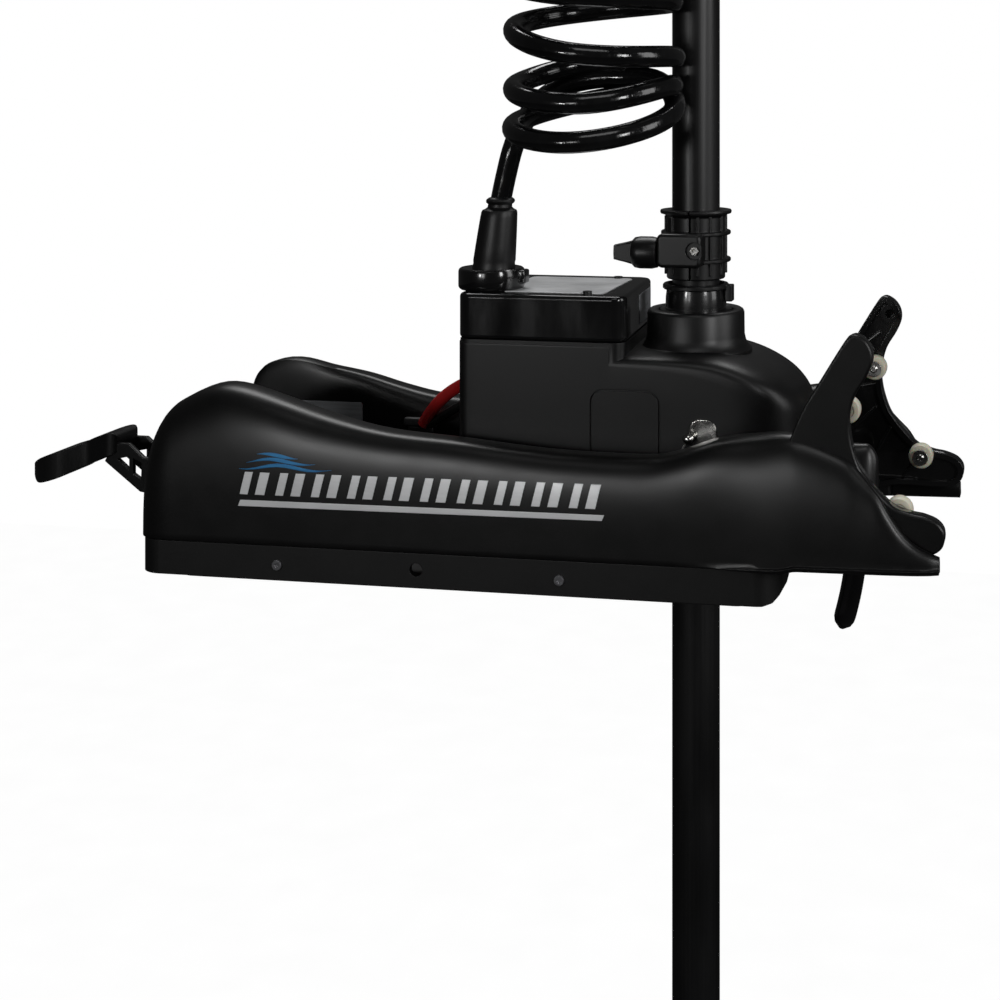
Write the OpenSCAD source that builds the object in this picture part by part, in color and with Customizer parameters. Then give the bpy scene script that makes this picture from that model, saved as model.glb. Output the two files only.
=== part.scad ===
// Bow-mount trolling motor: deck mount, tilting steering housing, shaft, control head and lower unit.
// Millimetres. +X to the bow, +Y to port, +Z up. The origin is the centre of the deck bolts,
// on the underside of the base. Most modules work in shaft stations, where X = 0 is the shaft axis.

/* [Shaft] */
// Outside diameter of the shaft
shaft_d = 32; // [30:0.5:33]
// Length of the shaft tube
shaft_len = 1219; // [1100:1:1524]
// Depth of the motor pod's axis below the underside of the base
pod_depth = 640; // [560:1:700]
// Distance from the centre of the deck bolts to the shaft axis
shaft_x = 225; // [215:1:235]

/* [Deck mount] */
// Length of the base plate aft of the shaft
base_aft = 352; // [350:1:354]
// Length of the base plate forward of the shaft
base_fore = 73; // [70:1:76]
// Width of the base plate
base_w = 196; // [194:1:200]
// Height of the base plate, up to the seam with the covers
base_h = 28; // [27:0.5:29]
// Spacing of the deck bolts along the boat
deck_pitch_x = 180; // [170:1:190]
// Spacing of the deck bolts across the boat
deck_pitch_y = 140; // [138:1:142]
// Diameter of a deck bolt hole
deck_hole_d = 8.5; // [6.5:0.5:9]

/* [Steering housing] */
// Width of the housing
box_w = 108; // [106:1:109]
// Distance from the shaft axis to the aft face of the housing
box_aft = 149; // [147:1:150]
// Height of the joint between the housing and its lid
lid_z = 157; // [156:1:159]
// Height of the top of the lid
lid_top = 187; // [184:1:190]
// Wall thickness of the housing
wall = 3; // [2.5:0.5:3.5]

/* [Tilt hinge] */
// Distance of the tilt hinge aft of the shaft axis
tilt_aft = 110; // [108:1:112]
// Height of the tilt hinge
tilt_z = 46; // [45:1:48]

/* [Cradle] */
// Distance from the centre plane to the middle of a cradle arm
arm_y = 88; // [87:0.5:88]
// Thickness of a cradle arm
arm_t = 12; // [10:1:12]
// Radius of a cradle roller
roller_r = 8.5; // [8:0.5:9]

/* [Lower unit] */
// Outside diameter of the motor pod
pod_d = 92; // [88:1:94]
// Diameter of the propeller
prop_d = 240; // [220:1:250]

/* [Coil cord] */
// Radius of the coil's centre line
coil_r = 54; // [50:0.5:54]
// Rise of one turn of the coil
coil_pitch = 33; // [30:1:36]
// Diameter of the cord
cord_d = 13; // [11:0.5:13]

/* [Hidden] */
$fn = 64;

// Running clearance on a radius
gap = 0.05;
shaft_r = shaft_d / 2;
base_y = base_w / 2;
box_y = box_w / 2;
slot_y = box_y + 6;
slot_aft = 160;
floor_t = 9;
// The base stands on a pad; its outer margin is raised above the deck
margin_z = 6.2;
pad_y = 79;
side_holes = [-253.5, -66];
side_hole_z = 16;
deck_mid = -shaft_x;
pod_r = pod_d / 2;
pod_z = -pod_depth;
shaft_z0 = pod_z + pod_r - 3;
cord_r = cord_d / 2;
coil_x = -56;
coil_y = -54;
coil_z0 = 299;
coil_turns = 8;
arm_in = arm_y - arm_t / 2;
arm_out = arm_y + arm_t / 2;
roller_bolt_r = 3;
roller_w = 11;
roller_y = arm_in - roller_w / 2 - 0.4;
// Roller centres as [station, height]
roller_at = [[111.7, 124.5], [144, 64]];
tube_r = 9;
sleeve_r = 20.4;
sleeve_z0 = 36;
sleeve_z1 = 191;
boss_r = 32.5;
housing_bow = 78;
boss_top = 173.5;
gear_teeth = 48;
pinion_teeth = 16;
gear_module = 1.25;
gear_r = gear_teeth * gear_module / 2;
pinion_r = pinion_teeth * gear_module / 2;
gear_z = 60;
pinion_x = -(gear_r + pinion_r);
prop_shaft_r = 5;
lever_x = -342;
lever_z = 46;
// Latch pin and guide finger pivot as [station, height]
latch_at = [-14, 76];
finger_at = [96, 62];
finger_y = 52.5;
pedal_pin = [-413, 67];
plug_x = -133;
plug_y = -25;

// ---- Shared shapes ----

module at_shaft() translate([shaft_x, 0, 0]) children();

module mirror_pair() {
    children();
    mirror([0, 1, 0]) children();
}

// A profile drawn in [station, height] and made y_width thick, centred on y_mid
module side_plate(y_mid, y_width) {
    translate([0, y_mid + y_width / 2, 0]) rotate([90, 0, 0]) linear_extrude(y_width) children();
}

module rod_x(r, x0, x1, y, z) translate([x0, y, z]) rotate([0, 90, 0]) cylinder(r = r, h = x1 - x0);
module rod_y(r, y0, y1, x, z) translate([x, y0, z]) rotate([-90, 0, 0]) cylinder(r = r, h = y1 - y0);

module ring(r_out, r_in, h) {
    difference() {
        cylinder(r = r_out, h = h);
        translate([0, 0, -1]) cylinder(r = r_in, h = h + 2);
    }
}

module rounded_rect(x0, x1, y0, y1, r) {
    hull() for (x = [x0 + r, x1 - r], y = [y0 + r, y1 - r]) translate([x, y]) circle(r = r, $fn = 32);
}

module rounded_box(x0, x1, y0, y1, z0, z1, r) {
    translate([0, 0, z0]) linear_extrude(z1 - z0) rounded_plan(x0, x1, y0, y1, r);
}

// The same outline from exact pieces, so that its corners stay true arcs
module rounded_plan(x0, x1, y0, y1, r) {
    translate([x0 + r, y0]) square([x1 - x0 - 2 * r, y1 - y0]);
    translate([x0, y0 + r]) square([x1 - x0, y1 - y0 - 2 * r]);
    for (x = [x0 + r, x1 - r], y = [y0 + r, y1 - r]) translate([x, y]) circle(r = r);
}

// A closed skin over a list of rings with equal point counts
module loft(rings) {
    n = len(rings[0]);
    m = len(rings);
    walls = [for (i = [0:m - 2], j = [0:n - 1]) each [
        [i * n + j, (i + 1) * n + j, i * n + (j + 1) % n],
        [i * n + (j + 1) % n, (i + 1) * n + j, (i + 1) * n + (j + 1) % n]]];
    polyhedron([for (r = rings) each r],
        concat(walls, [[for (j = [0:n - 1]) j]], [[for (j = [n - 1:-1:0]) (m - 1) * n + j]]));
}

function unit(v) = v / norm(v);

// A round bar along a path; each ring stands square to the path
module bar_along(path, r, sides) {
    m = len(path);
    loft([for (i = [0:m - 1])
        let (t = unit(path[min(i + 1, m - 1)] - path[max(i - 1, 0)]),
            u = unit(cross(abs(t.y) < 0.9 ? [0, 1, 0] : [1, 0, 0], t)),
            v = cross(t, u))
        [for (k = [0:sides - 1]) path[i] + r * (u * cos(k * 360 / sides) + v * sin(k * 360 / sides))]]);
}

function coil_point(turn) = [
    coil_x - coil_r * cos(360 * turn),
    coil_y + coil_r * sin(360 * turn),
    coil_z0 + coil_pitch * turn];

// Point on a cubic curve through four control points
function bezier(p, t) = pow(1 - t, 3) * p[0] + 3 * t * pow(1 - t, 2) * p[1]
    + 3 * t * t * (1 - t) * p[2] + pow(t, 3) * p[3];

// ---- Deck mount ----

module base_plan() {
    difference() {
        rounded_plan(-base_aft, base_fore, -base_y, base_y, 16);
        translate([-slot_aft, -slot_y]) square([slot_aft + base_fore + 1, 2 * slot_y]);
    }
}

module deck_spots() {
    for (x = [-deck_pitch_x / 2, deck_pitch_x / 2], y = [-deck_pitch_y / 2, deck_pitch_y / 2])
        translate([deck_mid + x, y, 0]) children();
}

module base_plate() {
    wall_t = 4;
    rail_in = slot_y + wall_t;
    side_out = base_y - wall_t;
    color("#1b1b1d") at_shaft() difference() {
        union() {
            difference() {
                linear_extrude(base_h) base_plan();
                rounded_box(-base_aft + wall_t, -slot_aft - wall_t, -side_out, side_out,
                    floor_t, base_h + 1, 12);
                mirror_pair() translate([-slot_aft - 12, rail_in, floor_t])
                    cube([slot_aft + 22, side_out - rail_in, base_h]);
            }
            deck_spots() cylinder(r = 9, h = floor_t + 3);
            mirror_pair() for (x = [-230, -40]) translate([x, rail_in, margin_z])
                cube([3, side_out - rail_in, base_h - margin_z - 6]);
            // Pads under the hinge brackets and the latch guide
            mirror_pair() translate([-tilt_aft - 16, rail_in, margin_z]) cube([32, 5, base_h - margin_z]);
            translate([latch_at[0] - 17, -81, margin_z]) cube([34, 81 - rail_in, base_h - margin_z]);
        }
        deck_spots() translate([0, 0, -1]) cylinder(d = deck_hole_d, h = 20);
        // Raised margin around the deck pad
        translate([0, 0, -1]) linear_extrude(margin_z + 1) difference() {
            translate([-base_aft - 1, -base_y - 1]) square([base_aft + base_fore + 2, base_w + 2]);
            rounded_plan(-base_aft + 18, base_fore - 20, -pad_y, pad_y, 12);
        }
        // Rounded lower corner at the bow
        side_plate(0, base_w + 2) polygon([[base_fore - 11, 0], [base_fore - 11, margin_z],
            [base_fore - 5, margin_z + 1.6], [base_fore - 1.5, margin_z + 5.2], [base_fore, margin_z + 11],
            [base_fore + 1, margin_z + 11], [base_fore + 1, 0]]);
        // Low sill, which the housing clears when it lies back
        translate([-slot_aft - wall_t - 1, -box_y - 4, floor_t + 3])
            cube([wall_t + 2, 2 * box_y + 8, base_h]);
        // Screw holes and one drain hole in each side wall
        for (x = side_holes) rod_y(1.6, -base_y - 1, base_y + 1, x, side_hole_z);
        rod_y(4.2, -base_y - 1, base_y + 1, -160, 17.5);
    }
}

// Height of a cover's crest at a station. The port cover's stern hump is lower and further aft.
function crest(x, port) = port && x < -84
    ? lookup(x, [[-352, 62], [-350, 88], [-346, 103], [-340, 111.5], [-330, 117.5], [-318, 120],
        [-308, 118.7], [-289, 114.5], [-262, 108.5], [-236, 101.5], [-211, 95.5], [-177, 93], [-84, 93]])
    : lookup(x, [[-352, 58], [-351, 77], [-349, 90], [-343, 105], [-330, 116], [-316, 123], [-303, 126],
        [-290, 126], [-274, 122.5], [-255, 117], [-232, 111], [-200, 104], [-177, 100], [-140, 97], [-84, 93],
        [-46, 91.5], [-8, 92], [7, 96], [31, 104], [56, 108.5], [78, 110.5], [94, 106.5], [112, 99.5],
        [120, 92.5], [134, 76.5], [146, 58.5], [158, 47.5], [168, 43], [172, 42]]);
function seam(x) = lookup(x, [[base_fore, base_h], [base_fore + 8, base_h + 2], [172, base_h + 4]]);
function cover_in(x) = lookup(x, [[8, 60], [18, arm_out + 1.2], [172, arm_out + 1.2]]);
function cover_out(x) = lookup(x, [[-352, 87], [-347, 95], [-334, 98], [0, 98], [60, 104], [150, 104],
    [172, 101]]);

// Inverted-U section of a cover, drawn as an arch with a second arch inside it
function arch(x, t, steps, port) = let (
        mid = (cover_out(x) + cover_in(x)) / 2,
        half = (cover_out(x) - cover_in(x)) / 2 - t,
        rise = crest(x, port) - seam(x) - t)
    [for (k = [0:steps]) let (a = 165 * k / steps) [
        x,
        mid + half * sign(cos(a)) * pow(abs(cos(a)), 0.55),
        seam(x) + rise * pow(sin(a), 0.55)]];
function reversed(list) = [for (i = [len(list) - 1:-1:0]) list[i]];

module side_cover(port) {
    skin = 3;
    stations = [-352, -350, -347, -340, -330, -318, -303, -289, -262, -236, -205, -177, -140, -84, -46,
        -8, 8, 18, 31, 56, 78, 98, 112, 120, 134, 146, 158, 168, 172];
    steps = 12;
    loft([for (x = stations)
        let (t = (x == stations[0] || x == 172) ? 0.6 * (crest(x, port) - seam(x)) : skin,
            thin = min(t, (cover_out(x) - cover_in(x)) / 2 - 1.2))
        concat(arch(x, 0, steps, port), reversed(arch(x, thin, steps, port)))]);
}

// Rounded inner half of the bow hump, on the other side of the cradle arm.
// The starboard one reaches further to the bow.
module hump_inner(bow_end) {
    skin = 3;
    y0 = 60;
    y1 = arm_in - 0.6;
    steps = 10;
    stations = [for (s = [0, 0.05, 0.16, 0.3, 0.46, 0.62, 0.75, 0.85, 0.92, 0.97, 1]) 4 + (bow_end - 4) * s];
    loft([for (x = stations)
        let (fall = max(0, x - bow_end + 42) / 43,
            top = min(crest(x, false), 26 + 78 * sqrt(max(0.02, 1 - fall * fall)) - 0.5),
            t = x == bow_end ? (y1 - y0) / 2 - 1 : skin,
            rise = top - base_h - 3)
        concat([for (k = [0:steps]) hump_point(x, k * 180 / steps, y0, y1, 0, rise)],
            [for (k = [steps:-1:0]) hump_point(x, k * 180 / steps, y0, y1, t, rise - t)])]);
}
function hump_point(x, a, y0, y1, t, rise) = [
    x,
    (y0 + y1) / 2 + ((y1 - y0) / 2 - t) * sign(cos(a)) * pow(abs(cos(a)), 0.7),
    base_h + 3 + rise * pow(sin(a), 0.7)];

module cover_shape(port) {
    difference() {
        union() {
            side_cover(port);
            hump_inner(port ? 90 : 126);
        }
        rod_y(5.5, 54, 67, latch_at[0], latch_at[1]);
        rod_y(3.3, 54, 67, finger_at[0], finger_at[1]);
    }
}

module side_cover_port() color("#1d1d1f") at_shaft() cover_shape(true);
module side_cover_starboard() color("#1d1d1f") at_shaft() mirror([0, 1, 0]) cover_shape(false);

module arm_profile() {
    polygon([[18, base_h], [18, 40], [58, 52], [80, 110], [111.5, 167.5], [116, 172], [120, 173],
        [125.5, 169.5], [128.8, 162], [128.8, 155], [125.5, 147.5], [118.5, 136], [115.2, 122.5],
        [115.7, 110], [120, 95.5], [131, 78.5], [141, 69.5], [152, 65.5], [164, 63.5], [169.5, 61],
        [172.8, 56], [173, 50], [170, 44.5], [164, 41.5], [122, 40.8], [100, 34], [84, base_h + 2],
        [base_fore, base_h]]);
}

module cradle_arm() {
    difference() {
        side_plate(arm_y, arm_t) arm_profile();
        for (p = roller_at) rod_y(roller_bolt_r, arm_in - 1, arm_in + 9, p[0], p[1]);
        // Moulded pockets in the inner face
        side_plate(arm_in, 10) polygon([[66, 60], [84, 104], [98, 104], [100, 88], [84, 56]]);
        side_plate(arm_in, 10) polygon([[96, 52], [106, 78], [126, 64], [126, 46], [96, 44]]);
    }
}

module cradle_arm_port() color("#19191b") at_shaft() cradle_arm();
module cradle_arm_starboard() color("#19191b") at_shaft() mirror([0, 1, 0]) cradle_arm();

module roller(p) {
    difference() {
        rod_y(roller_r, roller_y - roller_w / 2, roller_y + roller_w / 2, p[0], p[1]);
        rod_y(roller_bolt_r + gap, roller_y - roller_w, roller_y + roller_w, p[0], p[1]);
    }
}

module roller_upper_port() color("#d8d2c0") at_shaft() roller(roller_at[0]);
module roller_lower_port() color("#d8d2c0") at_shaft() roller(roller_at[1]);
module roller_upper_starboard() color("#d8d2c0") at_shaft() mirror([0, 1, 0]) roller(roller_at[0]);
module roller_lower_starboard() color("#d8d2c0") at_shaft() mirror([0, 1, 0]) roller(roller_at[1]);

module roller_bolts() {
    color("#c8c8ca") at_shaft() mirror_pair() for (p = roller_at) {
        rod_y(roller_bolt_r, roller_y - roller_w / 2 - 3, arm_in + 9, p[0], p[1]);
        rod_y(5.4, roller_y - roller_w / 2 - 3, roller_y - roller_w / 2 - 0.4, p[0], p[1]);
    }
}

module hinge_brackets() {
    color("#8c8d90") at_shaft() mirror_pair() difference() {
        side_plate(66, 3) {
            translate([-tilt_aft, tilt_z]) circle(r = 14);
            translate([-tilt_aft - 15, base_h]) square([30, 12]);
            translate([-tilt_aft - 14, base_h]) square([28, tilt_z - base_h]);
        }
        rod_y(tube_r, 60, 70, -tilt_aft, tilt_z);
    }
}

module hinge_tube() {
    color("#b9babd") at_shaft() difference() {
        rod_y(tube_r, -69, 69, -tilt_aft, tilt_z);
        rod_y(tube_r - 2, -70, 70, -tilt_aft, tilt_z);
    }
}

// A short coil spring on the hinge tube, each side of the housing
module tilt_springs() {
    wire_r = 0.9;
    coil = tube_r + 2.6;
    turns = 1.5;
    steps = 40;
    color("#9a9b9e") at_shaft() mirror_pair() bar_along(
        [for (k = [0:steps]) let (a = 360 * turns * k / steps)
            [-tilt_aft + coil * cos(a), 55.3 + 3.2 * k / steps, tilt_z + coil * sin(a)]], wire_r, 6);
}

module cover_screws() {
    color("#0f0f10") at_shaft() mirror_pair() for (x = side_holes) {
        rod_y(1.6, base_y - 4, base_y, x, side_hole_z);
        difference() {
            rod_y(3.2, base_y, base_y + 1.4, x, side_hole_z);
            rod_y(1.3, base_y + 0.6, base_y + 3, x, side_hole_z, $fn = 6);
        }
    }
}

module rating_label() {
    color("#77787a") at_shaft() side_plate(59.4, 0.8) rounded_rect(-318, -261, 74, 90, 2);
}

module cable_connector() {
    color("#6f7072") at_shaft() difference() {
        union() {
            translate([-214, 55.2, 70]) cube([26, 4.6, 15]);
            translate([-210, 55, 72]) cube([18, 1, 11]);
        }
        rod_y(1.2, 50, 61, -211.5, 77);
    }
}

function lead_path(y0, z0, y1, z1) = [for (i = [0:8]) bezier([
    [-186.6, y0, z0], [-176, y0 - 3, z0 + 2], [-178, y1, z1 - 10], [-box_aft - 1.4, y1, z1]], i / 8)];

module lead_positive() color("#a3231f") at_shaft() bar_along(lead_path(57.4, 80.6, 34, 118), 1.9, 10);
module lead_negative() color("#141415") at_shaft() bar_along(lead_path(57.4, 74.6, 34, 108), 1.9, 10);

// Block that carries the latch pin beside the housing
module latch_guide() {
    color("#8c8d90") at_shaft() difference() {
        union() {
            translate([latch_at[0] - 10, -78, base_h]) cube([20, 10, 54]);
            translate([latch_at[0] - 16, -80, base_h]) cube([32, 14, 5]);
        }
        rod_y(4 + gap, -90, -50, latch_at[0], latch_at[1]);
    }
}

module latch_pin() {
    color("#c4c5c8") at_shaft() {
        rod_y(4, -82.8, -box_y - 2.6, latch_at[0], latch_at[1]);
        rod_y(5.4, -81.8, -79.2, latch_at[0], latch_at[1]);
    }
}

module lever_pins() {
    color("#b4b5b8") at_shaft() {
        rod_y(4, -40, 40, lever_x, lever_z);
        rod_y(3, 45, 62.5, finger_at[0], finger_at[1]);
    }
}

// ---- Release pedal ----

module lever_arm() {
    color("#b8b9bc") at_shaft() difference() {
        union() {
            for (y = [-12, 12]) side_plate(y, 4) {
                translate([lever_x, lever_z]) circle(r = 8);
                polygon([[lever_x - 2, lever_z - 8], [lever_x + 2, lever_z + 8], [-393, 61], [-404, 71],
                    [-418, 72], [-424, 62], [-396, 37], [-380, 34]]);
            }
            rod_y(3, -12, 12, -372, 46);
            rod_y(3, -18, 18, pedal_pin[0], pedal_pin[1]);
        }
        rod_y(4 + gap, -50, 50, lever_x, lever_z);
    }
}

// Side view of the foot pad
module pad_profile() {
    polygon([[-480, 50], [-474, 57], [-460, 62], [-444, 67.5], [-428, 75.5], [-414, 80.5], [-406, 79.5],
        [-402, 68], [-425, 56.5], [-443, 51.5], [-456, 44.5], [-473, 40]]);
}

// Peanut-shaped foot pad, open underneath for the lever
module foot_pedal() {
    color("#202022") at_shaft() difference() {
        intersection() {
            side_plate(0, 50) pad_profile();
            translate([0, 0, 30]) linear_extrude(60) {
                rounded_plan(-481, -436, -20, 20, 19);
                translate([-450, -15]) square([40, 30]);
                rounded_plan(-432, -401, -17, 17, 12);
            }
        }
        side_plate(0, 28.6) polygon([[-427, 50], [-427, 64], [-420, 75], [-406, 75], [-398, 70], [-398, 50]]);
        rod_y(3, -30, 30, pedal_pin[0], pedal_pin[1]);
    }
}

// Spring-loaded finger that leads the pod into the cradle
module guide_finger() {
    tip = [92, -45];
    shank_r = 7.5;
    shank = [for (i = [0:10]) bezier([[98, 60], [104, 30], [104, -4], tip], i / 10)];
    color("#161618") at_shaft() difference() {
        union() {
            side_plate(finger_y, 11) polygon(concat([for (p = shank) p + [shank_r, 0]],
                reversed([for (p = shank) p - [shank_r, 0]])));
            rod_y(shank_r, finger_y - 5.5, finger_y + 5.5, tip[0], tip[1]);
            rod_y(11, finger_y - 5.5, finger_y + 5.5, finger_at[0], finger_at[1]);
        }
        rod_y(3 + gap, 40, 80, finger_at[0], finger_at[1]);
    }
}

// ---- Steering housing ----

// Side view of the tilting housing
module housing_profile(inset) {
    offset(delta = -inset) polygon(concat(
        [[-box_aft, 58], [-box_aft, lid_z], [-46, lid_z], [-42, 149], [-32, 147]],
        [for (i = [0:10]) bezier([[-24, 148.5], [24, 151], [60, 144], [75, 128]], i / 10)],
        [[housing_bow, 120], [housing_bow - 0.5, 110], [72, 98], [66, 90], [64, 80], [64, 40], [56, 32],
            [-134, 32], [-146, 44]]));
}

module housing_plan(inset) {
    r = box_y - inset;
    rounded_plan(-100, housing_bow - inset, -r, r, 34 - inset);
    translate([-box_aft + 8 + inset, -r]) square([80, 2 * r]);
    translate([-box_aft + inset, -r + 8]) square([20, 2 * r - 16]);
    for (y = [-r + 8, r - 8]) translate([-box_aft + inset + 8, y]) circle(r = 8);
}

module housing_form(inset) {
    intersection() {
        side_plate(0, 2 * box_y + 2) housing_profile(inset);
        translate([0, 0, 20]) linear_extrude(200) housing_plan(inset);
    }
}

module steering_housing() {
    bush_r = 24;
    color("#1c1c1e") at_shaft() difference() {
        union() {
            difference() {
                housing_form(0);
                intersection() {
                    housing_form(wall);
                    translate([-200, -100, 30]) cube([400, 200, lid_z]);
                }
                // Open top of the electronics bay
                rounded_box(-box_aft + wall, -52, -box_y + wall, box_y - wall, 140, lid_z + 1, 6);
                // Open underside, closed by the bottom cover
                rounded_box(-84, 58, -46, 46, 20, 40, 10);
            }
            translate([0, 0, 118]) cylinder(r = boss_r, h = boss_top - 118);
            rod_y(14, -box_y, box_y, -tilt_aft, tilt_z);
        }
        rod_y(tube_r + gap, -box_y - 1, box_y + 1, -tilt_aft, tilt_z);
        translate([0, 0, 117]) cylinder(r = bush_r, h = boss_top - 116);
        translate([-58, -box_y - 1, 60]) cube([48, 1 + 1.6, 66]);
        for (y = [-40, 40]) translate([-64, y, 100]) cylinder(r = 1.5, h = 60);
    }
}

module housing_bottom() {
    color("#171719") at_shaft() difference() {
        union() {
            rounded_box(-83.8, 57.8, -45.8, 45.8, 29, 34.9, 9.8);
            translate([0, 0, 29]) cylinder(r = 29, h = 19);
        }
        translate([0, 0, 20]) cylinder(r = 24, h = 40);
        for (x = [-78, 52], y = [-40, 40]) translate([x, y, 20]) cylinder(r = 1.6, h = 30);
    }
}

module housing_lid() {
    color("#0d0d0f") at_shaft() difference() {
        union() {
            rounded_box(-box_aft, -46, -box_y, box_y, lid_z, lid_top - 3, 8);
            rounded_box(-box_aft + 2, -48, -box_y + 2, box_y - 2, lid_top - 3, lid_top, 7);
            // Plate on the bow face
            translate([-47, -4, lid_z + 3]) cube([3, 52, lid_top - lid_z - 9]);
        }
        rounded_box(-box_aft + wall, -46 - wall, -box_y + wall, box_y - wall, lid_z - 1, lid_top - 6, 6);
        translate([plug_x, plug_y, lid_top - 10]) cylinder(r = 9, h = 20);
        for (y = [-40, 40]) translate([-64, y, lid_z - 1]) cylinder(r = 1.5, h = 60);
    }
}

module access_panel() {
    color("#1a1a1c") at_shaft() translate([0, -box_y + 1.6, 0]) rotate([90, 0, 0]) linear_extrude(1.6)
        rounded_plan(-57.8, -10.2, 60.2, 125.8, 6);
}

module lid_label() {
    color("#b9bbbe") at_shaft() rounded_box(-108, -53, -36, 36, lid_top, lid_top + 0.5, 4);
}

// Steel plate on the housing that meets the latch pin
module strike_plate() {
    color("#cfd0d2") at_shaft() difference() {
        side_plate(-box_y - 1, 2) {
            translate([15.5, 101.5]) circle(r = 8.5);
            polygon([[-22, 71], [-22, 84], [7, 101.5], [24, 101.5], [24, 88], [-6, 71]]);
        }
        rod_y(1.8, -box_y - 3, -box_y + 1, 15.5, 91);
    }
}

module sleeve_bushes() {
    color("#cbb98a") at_shaft() for (z = [29, 119]) translate([0, 0, z])
        ring(24, sleeve_r + gap, (z == 29) ? 19 : boss_top - 119);
}

module steering_motor() {
    color("#6d6e72") at_shaft() translate([pinion_x, 0, 0]) {
        translate([0, 0, gear_z + 16]) cylinder(r = 17, h = 36);
        difference() {
            translate([0, 0, gear_z + 13]) cylinder(r = 19, h = 3);
            translate([0, 0, gear_z + 12]) cylinder(r = 2.5 + gap, h = 8);
        }
        translate([0, 0, gear_z + 52]) cylinder(r = 6, h = 3);
    }
}

// Trapezoid-tooth gear blank
module gear_outline(teeth, clear) {
    r = teeth * gear_module / 2;
    step = 360 / teeth;
    root = r - 1.25 * gear_module;
    tip = r + 0.8 * gear_module;
    half_root = step * 0.25 - clear;
    half_tip = step * 0.12 - clear;
    polygon([for (i = [0:teeth - 1]) each [
        root * [cos(i * step - half_root), sin(i * step - half_root)],
        tip * [cos(i * step - half_tip), sin(i * step - half_tip)],
        tip * [cos(i * step + half_tip), sin(i * step + half_tip)],
        root * [cos(i * step + half_root), sin(i * step + half_root)]]]);
}

module drive_gear() {
    color("#d9d4c2") at_shaft() translate([0, 0, gear_z]) difference() {
        linear_extrude(10) gear_outline(gear_teeth, 0.35);
        translate([0, 0, -1]) cylinder(r = sleeve_r, h = 12);
    }
}

module motor_pinion() {
    color("#b08d57") at_shaft() translate([pinion_x, 0, gear_z - 1]) {
        rotate([0, 0, 180 / pinion_teeth]) linear_extrude(12) gear_outline(pinion_teeth, 0.9);
        cylinder(r = 2.5, h = 16);
    }
}

module control_board() {
    color("#1f5a34") at_shaft() translate([-142, -44, 134]) cube([82, 88, 1.6]);
    color("#232325") at_shaft() {
        translate([-136, -36, 135.6]) cube([16, 18, 14]);
        translate([-110, 10, 135.6]) cube([26, 20, 8]);
        translate([-78, -30, 135.6]) cylinder(r = 6, h = 16);
    }
}

module plug_nut() {
    color("#131314") at_shaft() translate([plug_x, plug_y, lid_top]) difference() {
        union() {
            cylinder(r = 17, h = 5);
            translate([0, 0, 3]) cylinder(r = 24, h = 11);
        }
        translate([0, 0, -1]) cylinder(r = 9, h = 20);
        // Finger grooves
        for (k = [0:11]) rotate([0, 0, 30 * k]) translate([26, 0, 2]) cylinder(r = 3, h = 13);
    }
}

module cord_plug() {
    color("#17171a") at_shaft() translate([plug_x, plug_y, 0]) {
        translate([0, 0, lid_top - 8]) cylinder(r = 9, h = 22.2);
        translate([0, 0, lid_top + 14]) cylinder(r1 = 14.5, r2 = 11.5, h = 38);
        translate([0, 0, lid_top + 52]) cylinder(r = 10, h = 10);
    }
}

module housing_screws() {
    color("#9c9da0") at_shaft() {
        for (x = [-78, 52], y = [-40, 40]) translate([x, y, 0]) {
            translate([0, 0, 27]) cylinder(r = 3.2, h = 2);
            translate([0, 0, 29]) cylinder(r = 1.6, h = 5.8);
        }
        for (y = [-40, 40]) translate([-64, y, 0]) {
            translate([0, 0, lid_top]) cylinder(r = 3, h = 1.6);
            translate([0, 0, 150]) cylinder(r = 1.5, h = lid_top - 150);
        }
    }
}

// ---- Coil cord ----

coil_steps = 16;
coil_split = 2;
coil_foot = [plug_x, plug_y, lid_top + 63.9];

module coil_cord_lower() {
    lead = [for (i = [0:7]) bezier([coil_foot, coil_foot + [0, 0, 22],
        coil_point(0) + [0, -24, -10], coil_point(0)], i / 8)];
    color("#0e0e10") at_shaft() bar_along(concat(lead,
        [for (k = [0:coil_steps * coil_split]) coil_point(k / coil_steps)]), cord_r, 8);
}

module coil_cord_upper() {
    last = coil_point(coil_turns);
    entry = [-62, -34, head_z + 4];
    color("#0e0e10") at_shaft() bar_along(concat(
        [for (k = [coil_steps * coil_split + 0.4:coil_steps * coil_turns]) coil_point(k / coil_steps)],
        [for (i = [1:6]) bezier([last, last + [0, 20, 6], entry + [0, 0, -16], entry], i / 6)]), cord_r, 8);
}

// ---- Steering sleeve and depth collar ----

module steering_sleeve() {
    color("#101012") at_shaft() difference() {
        union() {
            translate([0, 0, sleeve_z0]) cylinder(r = sleeve_r, h = sleeve_z1 - sleeve_z0);
            for (a = [0, 180]) rotate([0, 0, a]) translate([sleeve_r - 2, -4, 178])
                cube([8, 8, sleeve_z1 - 178]);
        }
        translate([0, 0, sleeve_z0 - 1]) cylinder(r = shaft_r + gap, h = 200);
    }
}

collar_r = 19.4;
collar_z0 = 191;
collar_z1 = 240;
knob_y = -25;
knob_z = 213;

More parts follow.
